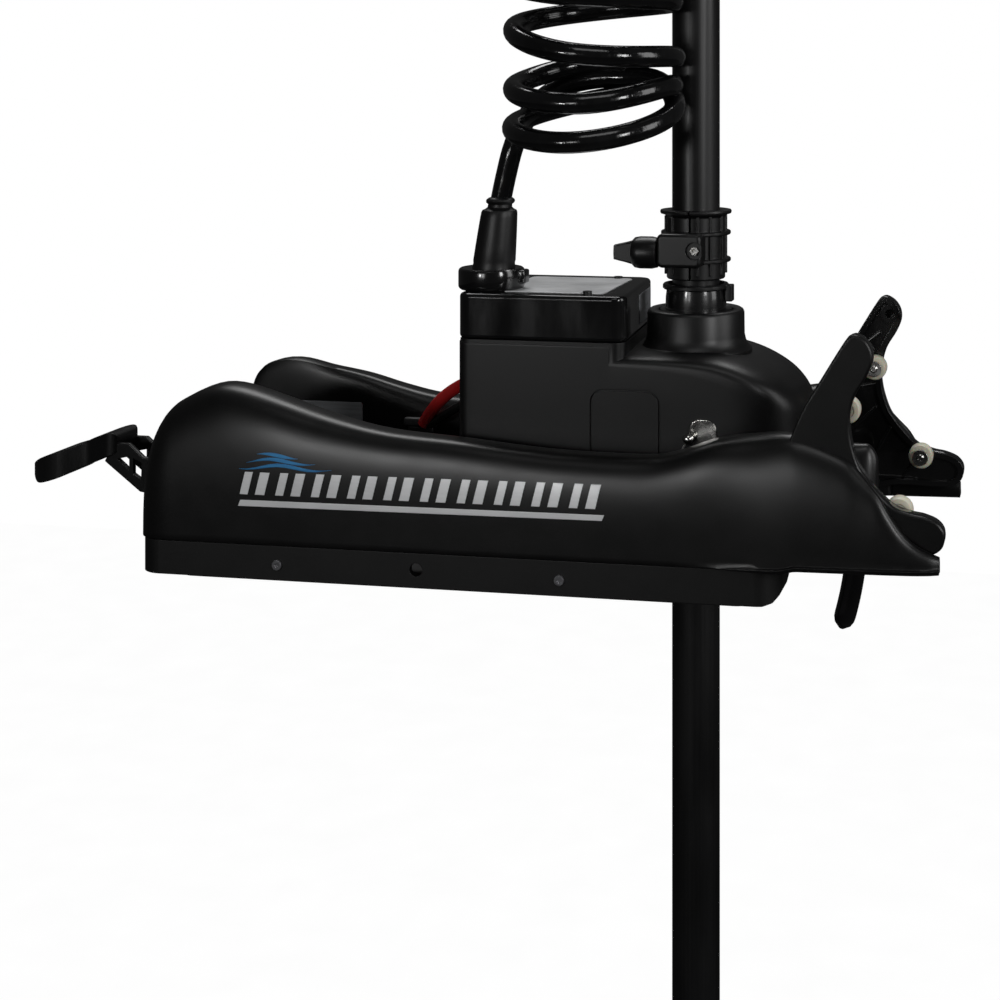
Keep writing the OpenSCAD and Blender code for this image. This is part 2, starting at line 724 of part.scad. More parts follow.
module collar_half(side) {
    difference() {
        union() {
            translate([0, 0, collar_z0]) cylinder(r = collar_r, h = collar_z1 - collar_z0);
            translate([0, 0, collar_z1 - 4]) cylinder(r = 24, h = 4);
            for (z = [206, 224]) translate([0, 0, z]) cylinder(r = 22, h = 3);
            translate([-20, -31, 203]) cube([32, 16, 22]);
            for (a = [-60:30:240]) rotate([0, 0, a]) translate([collar_r - 1, -1, collar_z0 + 3])
                cube([2.6, 2, collar_z1 - collar_z0 - 7]);
        }
        translate([0, 0, collar_z0 - 1]) cylinder(r = shaft_r + gap, h = 60);
        rod_x(3 + gap, -40, 40, knob_y, knob_z);
        // The other half, and the gap between the two
        translate([side > 0 ? -60 : 0, -50, 180]) cube([60 + (side > 0 ? 0.6 : 0), 100, 80]);
    }
}

module collar_bow_half() color("#161618") at_shaft() collar_half(1);
module collar_aft_half() color("#161618") at_shaft() collar_half(-1);

module wing_knob() {
    color("#1a1a1c") at_shaft() {
        rod_x(3, -34, 11, knob_y, knob_z);
        difference() {
            union() {
                rod_x(9, -34, -21, knob_y, knob_z);
                translate([-50, knob_y - 4, knob_z - 5]) cube([20, 8, 10]);
                for (s = [-1, 1]) translate([-38, knob_y - 3, knob_z + s * 5 - 4]) cube([14, 6, 8]);
            }
            rod_x(3, -40, 0, knob_y, knob_z);
        }
    }
}

module shaft_tube() {
    color("#2a2a2d") at_shaft() difference() {
        translate([0, 0, shaft_z0]) cylinder(r = shaft_r, h = shaft_len);
        translate([0, 0, shaft_z0 - 1]) cylinder(r = shaft_r - 2.5, h = shaft_len + 2);
    }
}

// ---- Control head ----

head_x0 = -112;
head_x1 = 74;
head_y = 62;
head_z = 596;

module head_base() {
    color("#1b1b1d") at_shaft() difference() {
        union() {
            rounded_box(head_x0 + 8, head_x1 - 8, -head_y + 8, head_y - 8, head_z, head_z + 8, 22);
            rounded_box(head_x0, head_x1, -head_y, head_y, head_z + 8, head_z + 30, 28);
            translate([0, 0, head_z - 22]) cylinder(r = 24, h = 24);
        }
        rounded_box(head_x0 + 3, head_x1 - 3, -head_y + 3, head_y - 3, head_z + 12, head_z + 31, 25);
        translate([0, 0, head_z - 23]) cylinder(r = shaft_r, h = 60);
        translate([-62, -34, head_z - 1]) cylinder(r = cord_r + 3, h = 20);
    }
}

module head_cover() {
    z0 = head_z + 30;
    dome = 38;
    rings = [[0, 0], [0.45, 0.5], [0.75, 2.2], [0.92, 6], [1, 12]];
    color("#202023") at_shaft() difference() {
        union() for (i = [0:len(rings) - 2]) hull() {
            for (k = [i, i + 1]) translate([0, 0, z0 + dome * rings[k][0]]) linear_extrude(0.4)
                rounded_rect(head_x0 + rings[k][1], head_x1 - rings[k][1], -head_y + rings[k][1],
                    head_y - rings[k][1], 28 - rings[k][1]);
        }
        rounded_box(head_x0 + 4, head_x1 - 4, -head_y + 4, head_y - 4, z0 - 1, z0 + 16, 24);
        rounded_box(head_x0 + 14, head_x1 - 14, -head_y + 14, head_y - 14, z0 + 15, z0 + 32, 14);
    }
}

module head_board() {
    color("#1f5a34") at_shaft() difference() {
        translate([head_x0 + 12, -44, head_z + 22]) cube([head_x1 - head_x0 - 24, 88, 1.6]);
        translate([0, 0, head_z]) cylinder(r = 20, h = 60);
    }
}

// ---- Lower unit: the motor axis runs along X at pod_z ----

module at_pod() at_shaft() translate([0, 0, pod_z]) children();
module turned_x(x0) translate([x0, 0, 0]) rotate([0, 90, 0]) rotate_extrude() children();

pod_aft = -86;
pod_fore = 78;
pod_wall = 3.5;

module pod_tube() {
    color("#1a1a1c") at_pod() difference() {
        union() {
            rod_x(pod_r, pod_aft, pod_fore, 0, 0);
            cylinder(r = 21, h = 84);
            translate([0, 0, pod_r - 6]) cylinder(r1 = 34, r2 = 21, h = 22);
            side_plate(0, 6) polygon([[-52, -pod_r + 4], [-40, -112], [-22, -116], [34, -pod_r + 4]]);
        }
        rod_x(pod_r - pod_wall, pod_aft - 1, pod_fore + 1, 0, 0);
        translate([0, 0, pod_r - 3]) cylinder(r = shaft_r, h = 60);
        translate([0, 0, 20]) cylinder(r = 8, h = pod_r - 20);
    }
}

// Half section of the nose: radius against length, hollow behind the tip
module nose_cone() {
    len_n = 92;
    in_r = pod_r - 8;
    color("#1a1a1c") at_pod() turned_x(pod_fore) polygon(concat([[0, len_n]],
        [for (i = [1:12]) let (a = 90 - 7.5 * i) [pod_r * cos(a), len_n * sin(a)]],
        [[in_r, 0], [in_r - 6, 34], [9.5, 38], [9.5, 31], [0, 31], [0, 33]]));
}

module tail_cap() {
    color("#1a1a1c") at_pod() turned_x(pod_aft - 40) polygon([
        [11.2, 0], [28, 0], [31, 3], [41, 24], [pod_r, 40], [pod_r - 8, 40], [33, 24], [11.2, 16]]);
}

module field_magnets() {
    r_out = pod_r - pod_wall;
    color("#4a4a4e") at_pod() for (a = [0, 180]) rotate([a, 0, 0]) intersection() {
        difference() {
            rod_x(r_out, -52, 52, 0, 0);
            rod_x(r_out - 7, -53, 53, 0, 0);
        }
        translate([-60, -28, 10]) cube([120, 56, 60]);
    }
}

module brush_plate() {
    color("#3c3a36") at_pod() difference() {
        rod_x(pod_r - pod_wall, -74, -70, 0, 0);
        rod_x(13, -75, -69, 0, 0);
    }
    color("#8a5a33") at_pod() for (s = [-1, 1]) translate([-70, -4, s > 0 ? 13.5 : -27.5]) cube([8, 8, 14]);
}

module motor_bearings() {
    color("#aeb0b3") at_pod() for (x = [pod_fore + 31.2 - 8.2, pod_aft - 40 + 7]) difference() {
        rod_x(x > 0 ? 9.5 : 11.2, x, x + 8, 0, 0);
        rod_x(prop_shaft_r + gap, x - 1, x + 9, 0, 0);
    }
}

module shaft_seal() {
    color("#111113") at_pod() difference() {
        rod_x(11.2, pod_aft - 40, pod_aft - 34, 0, 0);
        rod_x(prop_shaft_r + gap, pod_aft - 41, pod_aft - 33, 0, 0);
    }
}

module armature() {
    slots = 10;
    color("#8d6a4a") at_pod() difference() {
        union() {
            rod_x(33, -42, 42, 0, 0);
            rod_x(12, -68, -42, 0, 0);
        }
        rod_x(prop_shaft_r, -80, 60, 0, 0);
        for (k = [0:slots - 1]) rotate([k * 360 / slots, 0, 0]) translate([-43, -2, 22]) cube([86, 4, 20]);
    }
}

module prop_shaft() {
    color("#c3c4c7") at_pod() rod_x(prop_shaft_r, -176, pod_fore + 30, 0, 0);
}

hub_x0 = -164;
hub_x1 = pod_aft - 42;

// One swept blade: sections turned more towards the root
function blade_ring(s) = let (
        r = 24 + s * (prop_d / 2 - 24),
        chord = 30 + 46 * sin(180 * pow(s, 0.8)) * (1 - 0.35 * s) - 12 * s,
        pitch = 62 - 36 * s,
        sweep = 34 * s * s,
        t = 4.2 - 2.8 * s)
    [for (k = [0:9]) let (u = chord / 2 * cos(36 * k), w = t / 2 * sin(36 * k),
            x = u * cos(pitch) - w * sin(pitch), y = u * sin(pitch) + w * cos(pitch) - sweep)
        [x, y, r]];

module propeller() {
    color("#1c1c1e") at_pod() {
        difference() {
            union() {
                rod_x(27, hub_x0 + 6, hub_x1, 0, 0);
                translate([hub_x0, 0, 0]) rotate([0, 90, 0]) cylinder(r1 = 21, r2 = 27, h = 6);
            }
            rod_x(prop_shaft_r, hub_x0 - 1, hub_x1 + 1, 0, 0);
            rod_x(12, hub_x0 - 1, hub_x0 + 8, 0, 0);
        }
        for (a = [0, 180]) rotate([a, 0, 0]) translate([(hub_x0 + hub_x1) / 2 + 2, 0, 0])
            loft([for (s = [0:0.125:1]) blade_ring(s)]);
    }
}

module prop_nut() {
    color("#c3c4c7") at_pod() difference() {
        union() {
            rod_x(9, hub_x0 - 4, hub_x0 + 3, 0, 0, $fn = 6);
            rod_x(11, hub_x0 + 3, hub_x0 + 5, 0, 0);
        }
        rod_x(prop_shaft_r, hub_x0 - 6, hub_x0 + 9, 0, 0);
    }
}

base_plate();
side_cover_starboard();
side_cover_port();
cradle_arm_starboard();
cradle_arm_port();
roller_upper_starboard();
roller_lower_starboard();
roller_upper_port();
roller_lower_port();
roller_bolts();
hinge_brackets();
hinge_tube();
tilt_springs();
cover_screws();
rating_label();
lead_positive();
lead_negative();
cable_connector();
latch_guide();
latch_pin();
lever_pins();
lever_arm();
foot_pedal();
guide_finger();
steering_housing();
housing_bottom();
housing_lid();
access_panel();
lid_label();
strike_plate();
sleeve_bushes();
steering_motor();
motor_pinion();
control_board();
plug_nut();
cord_plug();
housing_screws();
coil_cord_lower();
coil_cord_upper();
steering_sleeve();
drive_gear();
collar_aft_half();
collar_bow_half();
wing_knob();
shaft_tube();
head_base();
head_cover();
head_board();
pod_tube();
nose_cone();
tail_cap();
field_magnets();
brush_plate();
motor_bearings();
shaft_seal();
armature();
prop_shaft();
propeller();
prop_nut();
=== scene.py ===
"""Looks for the trolling motor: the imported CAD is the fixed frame, and this script dresses it.

Shapes are drawn in shaft stations: millimetres, X = 0 on the shaft axis and + to the bow,
Y + to port, Z = 0 on the underside of the base. place() turns them into the row frame's metres.
"""
import math

import bmesh
import bpy
from mathutils import Matrix, Vector

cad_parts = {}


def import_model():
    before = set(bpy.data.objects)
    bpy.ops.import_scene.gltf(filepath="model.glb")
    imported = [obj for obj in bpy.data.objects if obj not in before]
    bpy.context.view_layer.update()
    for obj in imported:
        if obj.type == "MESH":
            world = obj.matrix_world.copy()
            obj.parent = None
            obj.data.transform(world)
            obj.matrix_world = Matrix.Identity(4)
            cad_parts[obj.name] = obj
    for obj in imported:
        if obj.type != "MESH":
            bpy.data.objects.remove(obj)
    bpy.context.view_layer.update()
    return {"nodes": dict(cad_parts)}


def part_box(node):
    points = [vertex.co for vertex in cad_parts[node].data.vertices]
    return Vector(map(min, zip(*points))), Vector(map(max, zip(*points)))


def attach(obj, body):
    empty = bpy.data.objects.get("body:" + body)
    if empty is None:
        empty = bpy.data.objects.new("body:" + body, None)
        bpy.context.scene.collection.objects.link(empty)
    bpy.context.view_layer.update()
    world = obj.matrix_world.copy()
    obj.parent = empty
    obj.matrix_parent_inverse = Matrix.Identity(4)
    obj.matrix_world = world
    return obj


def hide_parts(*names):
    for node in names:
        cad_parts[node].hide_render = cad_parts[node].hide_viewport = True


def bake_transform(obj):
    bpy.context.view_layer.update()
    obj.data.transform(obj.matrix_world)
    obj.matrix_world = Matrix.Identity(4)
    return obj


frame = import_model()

MM = 0.001
PI = math.pi
shaft_lo, shaft_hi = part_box("shaft_tube")
SHAFT_X = (shaft_lo.x + shaft_hi.x) / 2


def place(p):
    """A point in shaft stations, as a vector in the row frame."""
    return Vector((SHAFT_X + p[0] * MM, p[1] * MM, p[2] * MM))


def span(node):
    """A CAD node's lowest and highest corner, in shaft stations."""
    lo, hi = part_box(node)
    move = Vector((SHAFT_X, 0, 0))
    return (lo - move) / MM, (hi - move) / MM


# ---- Sizes read from the frame ----

base_hi = span("base_plate")[1]
box_lo, box_hi = span("steering_housing")
lid_lo, lid_hi = span("housing_lid")
arm_lo, arm_hi = span("cradle_arm_port")
sleeve_hi = span("steering_sleeve")[1]
collar_lo, collar_hi = span("collar_bow_half")
head_lo, head_hi = span("head_cover")
head_base_lo = span("head_base")[0]
pod_lo, pod_hi = span("pod_tube")
nose_lo, nose_hi = span("nose_cone")
tail_lo, tail_hi = span("tail_cap")
prop_lo, prop_hi = span("propeller")
plug_lo, plug_hi = span("cord_plug")

BASE_H = base_hi.z
BOX_Y = box_hi.y
BOX_AFT = box_lo.x
LID_Z = lid_lo.z
LID_TOP = lid_hi.z
ARM_IN, ARM_OUT = arm_lo.y, arm_hi.y
SHAFT_R = span("shaft_tube")[1].y
PLUG_X, PLUG_Y = (plug_lo.x + plug_hi.x) / 2, (plug_lo.y + plug_hi.y) / 2
POD_R = pod_hi.y
POD_Z = (nose_lo.z + nose_hi.z) / 2


# ---- Small maths ----

def lerp(a, b, t):
    """The value a share t of the way from a to b."""
    return a + (b - a) * t


def smooth(t):
    """An eased 0 to 1."""
    t = min(max(t, 0.0), 1.0)
    return t * t * (3 - 2 * t)


def curve_at(points, x):
    """Height at x on a smooth curve through (x, height) points."""
    if x <= points[0][0]:
        return points[0][1]
    if x >= points[-1][0]:
        return points[-1][1]
    i = next(k for k in range(len(points) - 1) if points[k + 1][0] >= x)
    before, a, b, after = (points[min(max(k, 0), len(points) - 1)] for k in (i - 1, i, i + 1, i + 2))
    step = b[0] - a[0]
    slope_a = (b[1] - before[1]) / (b[0] - before[0])
    slope_b = (after[1] - a[1]) / (after[0] - a[0])
    t = (x - a[0]) / step
    return ((2 * t**3 - 3 * t**2 + 1) * a[1] + (t**3 - 2 * t**2 + t) * step * slope_a
            + (3 * t**2 - 2 * t**3) * b[1] + (t**3 - t**2) * step * slope_b)


def line_at(points, x):
    """Height at x on straight lines through (x, height) points."""
    for (xa, ya), (xb, yb) in zip(points, points[1:]):
        if x <= xb:
            return lerp(ya, yb, max(0.0, (x - xa) / (xb - xa)))
    return points[-1][1]


def bezier(p, t):
    """Point on a cubic curve through four control points."""
    u = 1 - t
    return sum((Vector(q) * w for q, w in zip(p, (u**3, 3 * t * u * u, 3 * t * t * u, t**3))),
        Vector((0, 0, 0)))


def arc(cx, cy, r, start, end, steps):
    """Points on a circle's arc, angles in degrees."""
    return [(cx + r * math.cos(math.radians(lerp(start, end, k / steps))),
             cy + r * math.sin(math.radians(lerp(start, end, k / steps)))) for k in range(steps + 1)]


def rounded_outline(x0, x1, y0, y1, r, steps=6):
    """Counter-clockwise rounded rectangle."""
    return (arc(x1 - r, y0 + r, r, -90, 0, steps) + arc(x1 - r, y1 - r, r, 0, 90, steps)
            + arc(x0 + r, y1 - r, r, 90, 180, steps) + arc(x0 + r, y0 + r, r, 180, 270, steps))


def spline(p0, p1, p2, p3, steps):
    """Points from p1 up to, not including, p2 on a smooth curve."""
    out = []
    for k in range(steps):
        t = k / steps
        out.append(0.5 * ((2 * p1) + (p2 - p0) * t + (2 * p0 - 5 * p1 + 4 * p2 - p3) * t * t
                          + (3 * p1 - p0 - 3 * p2 + p3) * t**3))
    return out


def closed_curve(points, steps):
    """A smooth closed outline through a few points."""
    n = len(points)
    out = []
    for i in range(n):
        near = [Vector(points[(i + k) % n]) for k in (-1, 0, 1, 2)]
        out += [tuple(p) for p in spline(*near, steps)]
    return out


def open_curve(points, steps):
    """A smooth line through a few points."""
    out = []
    padded = [points[0]] + list(points) + [points[-1]]
    for i in range(len(points) - 1):
        out += spline(*[Vector(padded[i + k]) for k in range(4)], steps)
    return out


def inset_outline(points, distance):
    """A counter-clockwise outline moved inwards."""
    n = len(points)
    out = []
    for i in range(n):
        before, here, after = (Vector(points[(i + k) % n]) for k in (-1, 0, 1))
        a, b = (here - before).normalized(), (after - here).normalized()
        normal = Vector((-(a.y + b.y), a.x + b.x))
        if normal.length < 1e-6:
            normal = Vector((-a.y, a.x))
        normal.normalize()
        turn = max(0.4, normal.dot(Vector((-a.y, a.x))))
        out.append(tuple(here + normal * distance / turn))
    return out


# ---- Mesh makers ----

def new_mesh(name, verts, faces, sharp=35):
    """A mesh object from points in shaft stations, shaded smooth except at sharp edges."""
    mesh = bpy.data.meshes.new(name)
    mesh.from_pydata([place(v) for v in verts], [], faces)
    obj = bpy.data.objects.new(name, mesh)
    bpy.context.scene.collection.objects.link(obj)
    tidy(obj, sharp)
    return obj


def tidy(obj, sharp=35):
    """Merges doubled points and sets normals and shading."""
    bm = bmesh.new()
    bm.from_mesh(obj.data)
    bmesh.ops.remove_doubles(bm, verts=bm.verts, dist=1e-6)
    bmesh.ops.recalc_face_normals(bm, faces=bm.faces)
    shade(bm, sharp)
    bm.to_mesh(obj.data)
    bm.free()
    obj.data.update()


def shade(bm, sharp=35):
    """Smooth shading, kept sharp at steep edges and where a wide flat face meets a narrow strip."""
    areas = [face.calc_area() for face in bm.faces]
    bm.faces.index_update()
    for face in bm.faces:
        face.smooth = True
    for edge in bm.edges:
        if len(edge.link_faces) == 2:
            turn = edge.calc_face_angle(0)
            small, large = sorted(areas[face.index] for face in edge.link_faces)
            edge.smooth = turn < math.radians(sharp) and not (turn > math.radians(5) and large > 15 * small)


def loft(name, rings, sharp=35, closed=False):
    """A skin over rings with equal point counts; the two ends are capped unless it closes on itself."""
    n, m = len(rings[0]), len(rings)
    verts = [p for ring in rings for p in ring]
    faces = []
    for i in range(m if closed else m - 1):
        for j in range(n):
            a, b = i * n + j, i * n + (j + 1) % n
            c, d = ((i + 1) % m) * n + (j + 1) % n, ((i + 1) % m) * n + j
            faces.append((a, b, c, d))
    if not closed:
        faces += [tuple(range(n))[::-1], tuple(range((m - 1) * n, m * n))]
    return new_mesh(name, verts, faces, sharp)


def lathe(name, profile, centre=(0, 0, 0), axis="Z", steps=96, sharp=35):
    """A solid turned from (radius, distance) points. A profile that returns to its start makes a ring."""
    rings = []
    for k in range(steps):
        a = 2 * PI * k / steps
        ring = []
        for r, d in profile:
            c, s = r * math.cos(a), r * math.sin(a)
            x, y, z = {"Z": (c, s, d), "Y": (c, d, s), "X": (d, c, s)}[axis]
            ring.append((centre[0] + x, centre[1] + y, centre[2] + z))
        rings.append(ring)
    return loft(name, rings, sharp, closed=True)


def prism(name, outline, y0, y1, edge=1.2, segments=3):
    """A plate from an [x, z] outline, between y0 and y1, with rounded edges."""
    obj = loft(name, [[(x, y, z) for x, z in outline] for y in (y0, y1)])
    return round_edges(obj, edge, segments) if edge else obj


def slab(name, outline, z0, z1, edge=1.2, segments=3):
    """A plate from an [x, y] outline, between z0 and z1, with rounded edges."""
    obj = loft(name, [[(x, y, z) for x, y in outline] for z in (z0, z1)])
    return round_edges(obj, edge, segments) if edge else obj


def round_edges(obj, width, segments=3, limit=40):
    """Rounds every edge that turns more than the limit."""
    bevel = obj.modifiers.new("edges", "BEVEL")
    bevel.width = width * MM
    bevel.segments = segments
    bevel.limit_method = "ANGLE"
    bevel.angle_limit = math.radians(limit)
    return settle(obj)


def settle(obj):
    """Applies the modifiers of a piece."""
    bpy.context.view_layer.update()
    graph = bpy.context.evaluated_depsgraph_get()
    mesh = bpy.data.meshes.new_from_object(obj.evaluated_get(graph))
    obj.modifiers.clear()
    old = obj.data
    obj.data = mesh
    bpy.data.meshes.remove(old)
    tidy(obj)
    return obj


def cut(obj, cutter, operation="DIFFERENCE"):
    """Cuts or joins a piece with another closed mesh, which is used up."""
    modifier = obj.modifiers.new("cut", "BOOLEAN")
    modifier.operation = operation
    modifier.solver = "EXACT"
    modifier.object = cutter
    settle(obj)
    bpy.data.objects.remove(cutter)
    return obj


def tube(name, path, radius, sides=20, squeeze=1.0):
    """A round bar along a path; radius may be a number or a function of the share of the path."""
    rings = []
    count = len(path)
    side = None
    for i, p in enumerate(path):
        tangent = (Vector(path[min(i + 1, count - 1)]) - Vector(path[max(i - 1, 0)])).normalized()
        if side is None:
            across = (0, 1, 0) if abs(tangent.y) < 0.9 else (1, 0, 0)
            side = tangent.cross(Vector(across)).normalized()
        side = (side - tangent * side.dot(tangent)).normalized()
        up = tangent.cross(side)
        r = radius(i / (count - 1)) if callable(radius) else radius
        rings.append([tuple(Vector(p) + side * (r * math.cos(2 * PI * k / sides))
                            + up * (r * squeeze * math.sin(2 * PI * k / sides))) for k in range(sides)])
    return loft(name, rings, sharp=60)


def join(name, *parts):
    """Several pieces as one object."""
    bm = bmesh.new()
    for part in parts:
        bm.from_mesh(part.data)
        bpy.data.objects.remove(part)
    shade(bm)
    mesh = bpy.data.meshes.new(name)
    bm.to_mesh(mesh)
    bm.free()
    obj = bpy.data.objects.new(name, mesh)
    bpy.context.scene.collection.objects.link(obj)
    return obj


def mirrored(obj, name):
    """The same piece on the other side of the centre plane."""
    mesh = obj.data.copy()
    mesh.transform(Matrix.Scale(-1, 4, Vector((0, 1, 0))))
    mesh.flip_normals()
    other = bpy.data.objects.new(name, mesh)
    bpy.context.scene.collection.objects.link(other)
    return other


def dress(obj, look, body, slot, *nodes):
    """Gives a piece its material and body, and hides the CAD nodes it stands for. Its slot argument is not
    used.
    """
    obj.data.materials.clear()
    obj.data.materials.append(MATERIAL[look])
    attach(obj, body)
    if nodes:
        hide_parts(*nodes)
    return obj


# ---- Materials ----

class Nodes:
    """A short way to wire a node material. Underscores in a keyword stand for spaces in a socket's name."""

    def __init__(self, name):
        self.material = bpy.data.materials.new(name)
        self.material.use_nodes = True
        self.tree = self.material.node_tree
        self.bsdf = self.tree.nodes["Principled BSDF"]
        self.coords = self.tree.nodes.new("ShaderNodeTexCoord").outputs["Object"]

    def add(self, kind, **values):
        """A node with its properties or unlinked inputs set."""
        node = self.tree.nodes.new(kind)
        for key, value in values.items():
            if hasattr(node, key):
                setattr(node, key, value)
            else:
                node.inputs[key.replace("_", " ")].default_value = value
        return node

    def link(self, a, b):
        self.tree.links.new(a, b)

    def noise(self, scale, detail=3.0, stretch=None, roughness=0.5):
        """A noise in the object's own space."""
        node = self.add("ShaderNodeTexNoise", Scale=scale, Detail=detail, Roughness=roughness)
        source = self.coords
        if stretch:
            mapping = self.add("ShaderNodeMapping", Scale=stretch)
            self.link(source, mapping.inputs["Vector"])
            source = mapping.outputs["Vector"]
        self.link(source, node.inputs["Vector"])
        return node.outputs["Fac"]

    def span(self, source, low, high, from_low=0.35, from_high=0.65):
        """A socket's middle range spread over low to high."""
        node = self.add("ShaderNodeMapRange", From_Min=from_low, From_Max=from_high, To_Min=low, To_Max=high)
        self.link(source, node.inputs["Value"])
        return node.outputs["Result"]

    def blend(self, factor, a, b):
        """Mix of two colours; each is an RGB triple or a socket."""
        node = self.add("ShaderNodeMix", data_type="RGBA")
        self.link(factor, node.inputs["Factor"])
        for key, value in (("A", a), ("B", b)):
            socket = [s for s in node.inputs if s.name == key and s.type == "RGBA"][0]
            if isinstance(value, tuple):
                socket.default_value = (*value, 1)
            else:
                self.link(value, socket)
        return [s for s in node.outputs if s.type == "RGBA"][0]

    def tint(self, source, a, b):
        """Colours the surface between two colours, following a noise."""
        self.set(Base_Color=self.blend(self.span(source, 0, 1), a, b))

    def maths(self, operation, a, b):
        node = self.add("ShaderNodeMath", operation=operation)
        for socket, value in zip(node.inputs, (a, b)):
            if isinstance(value, (int, float)):
                socket.default_value = value
            else:
                self.link(value, socket)
        return node.outputs["Value"]

    def bumps(self, *layers):
        """Stacks (height socket, strength, distance) bumps over a softened edge normal."""
        normal = self.add("ShaderNodeBevel", samples=4, Radius=0.6 * MM).outputs["Normal"]
        for height, strength, distance in layers:
            bump = self.add("ShaderNodeBump", Strength=strength, Distance=distance)
            self.link(height, bump.inputs["Height"])
            self.link(normal, bump.inputs["Normal"])
            normal = bump.outputs["Normal"]
        self.link(normal, self.bsdf.inputs["Normal"])

    def worn_edges(self):
        """1 on exposed edges, 0 elsewhere."""
        bevel = self.add("ShaderNodeBevel", samples=4, Radius=1.0 * MM)
        geometry = self.add("ShaderNodeNewGeometry")
        dot = self.add("ShaderNodeVectorMath", operation="DOT_PRODUCT")
        self.link(bevel.outputs["Normal"], dot.inputs[0])
        self.link(geometry.outputs["Normal"], dot.inputs[1])
        return self.span(dot.outputs["Value"], 1, 0, 0.9, 0.998)

    def set(self, **values):
        """Sets or links the shader's own inputs."""
        for key, value in values.items():
            socket = self.bsdf.inputs[key.replace("_", " ")]
            if hasattr(value, "is_linked"):
                self.link(value, socket)
            else:
                socket.default_value = value


def moulded(name, colour, rough=0.5, grain=1500, depth=0.05):
    """Moulded plastic: spark grain, slow colour drift, scuffs and paler edges."""
    n = Nodes(name)
    fine = n.noise(grain, 2)
    drift = n.noise(14, 4)
    scuff = n.noise(60, 3)
    dark = tuple(c * 0.92 for c in colour)
    light = tuple(c * 1.12 for c in colour)
    base = n.blend(n.span(drift, 0, 1), dark, light)
    flecks = n.blend(n.span(fine, 0, 0.5, 0.55, 0.85), base, tuple(c * 2.2 + 0.01 for c in colour))
    edges = n.maths("MULTIPLY", n.worn_edges(), 0.35)
    n.set(Base_Color=n.blend(edges, flecks, tuple(c * 2.0 + 0.012 for c in colour)))
    n.set(Roughness=n.maths("ADD", n.span(scuff, rough - 0.012, rough + 0.018), n.span(fine, 0, 0.03)))
    n.bumps((fine, depth * 6, 0.05 * MM), (drift, 0.03, 0.3 * MM))
    return n.material


def glossy(name, colour, rough=0.14, wave=0.12):
    """Gloss moulding with faint waviness and smears."""
    n = Nodes(name)
    drift = n.noise(22, 3)
    smear = n.noise(60, 6, stretch=(1, 1, 0.3))
    n.tint(drift, colour, tuple(c * 1.5 + 0.003 for c in colour))
    n.set(Roughness=n.span(smear, rough * 0.7, rough * 1.7), Coat_Weight=0.5, Coat_Roughness=0.06)
    n.bumps((drift, wave, 0.5 * MM), (n.noise(700, 2), 0.06, 0.03 * MM))
    return n.material


def steel(name, colour=(0.62, 0.61, 0.59), rough=0.24):
    """Turned or rolled steel: fine lines, slight stain."""
    n = Nodes(name)
    lines = n.noise(900, 2)
    stain = n.noise(70, 5)
    n.tint(stain, tuple(c * 0.72 for c in colour), colour)
    n.set(Metallic=1.0, Roughness=n.maths("ADD", n.span(stain, rough - 0.05, rough + 0.12),
        n.span(lines, 0, 0.06)))
    n.bumps((lines, 0.12, 0.02 * MM))
    return n.material


def nylon(name, colour):
    """Ivory moulding with a little light in it."""
    n = Nodes(name)
    mottling = n.noise(60, 4)
    n.tint(mottling, tuple(c * 0.86 for c in colour), colour)
    n.set(Roughness=n.span(mottling, 0.34, 0.46), Subsurface_Weight=0.25, Subsurface_Scale=2 * MM)
    n.bumps((n.noise(500, 2), 0.1, 0.04 * MM))
    return n.material


def cord_jacket(name, colour):
    """Glossy cable jacket with the creases that a coiled cord shows."""
    n = Nodes(name)
    crease = n.noise(230, 3, stretch=(1, 1, 0.45), roughness=0.6)
    slow = n.noise(45, 3)
    n.tint(slow, colour, tuple(c * 2.2 for c in colour))
    n.set(Roughness=n.span(crease, 0.08, 0.2), Coat_Weight=0.3, Coat_Roughness=0.06)
    n.bumps((crease, 0.55, 0.35 * MM), (n.noise(900, 2), 0.08, 0.04 * MM))
    return n.material


def composite(name, colour):
    """Drawn shaft tube: faint lengthwise lines under a satin skin."""
    n = Nodes(name)
    lines = n.noise(1, 3, stretch=(900, 900, 5))
    cloud = n.noise(30, 4, stretch=(1, 1, 0.25))
    fine = n.noise(1700, 2)
    n.tint(cloud, tuple(c * 0.7 for c in colour), tuple(c * 1.5 for c in colour))
    n.set(Roughness=n.maths("ADD", n.span(cloud, 0.30, 0.40), n.span(lines, 0, 0.08)))
    n.bumps((lines, 0.14, 0.05 * MM), (fine, 0.2, 0.04 * MM))
    return n.material


def coated(name, colour):
    """Powder coat with orange peel."""
    n = Nodes(name)
    peel = n.noise(420, 2)
    drift = n.noise(18, 4)
    edges = n.maths("MULTIPLY", n.worn_edges(), 0.4)
    base = n.blend(n.span(drift, 0, 1), colour, tuple(c * 1.7 for c in colour))
    n.set(Base_Color=n.blend(edges, base, (0.16, 0.16, 0.16)))
    n.set(Roughness=n.span(drift, 0.28, 0.40))
    n.bumps((peel, 0.25, 0.12 * MM))
    return n.material


def board(name):
    """Green circuit board with copper tracks under the mask."""
    n = Nodes(name)
    tracks = n.add("ShaderNodeTexBrick", Scale=160.0, Mortar_Size=0.04)
    n.link(n.coords, tracks.inputs["Vector"])
    tracks.inputs["Color1"].default_value = (0.010, 0.085, 0.030, 1)
    tracks.inputs["Color2"].default_value = (0.014, 0.11, 0.040, 1)
    tracks.inputs["Mortar"].default_value = (0.05, 0.22, 0.08, 1)
    n.set(Base_Color=tracks.outputs["Color"], Roughness=n.span(n.noise(80), 0.3, 0.45))
    n.bumps((tracks.outputs["Fac"], 0.2, 0.05 * MM))
    return n.material


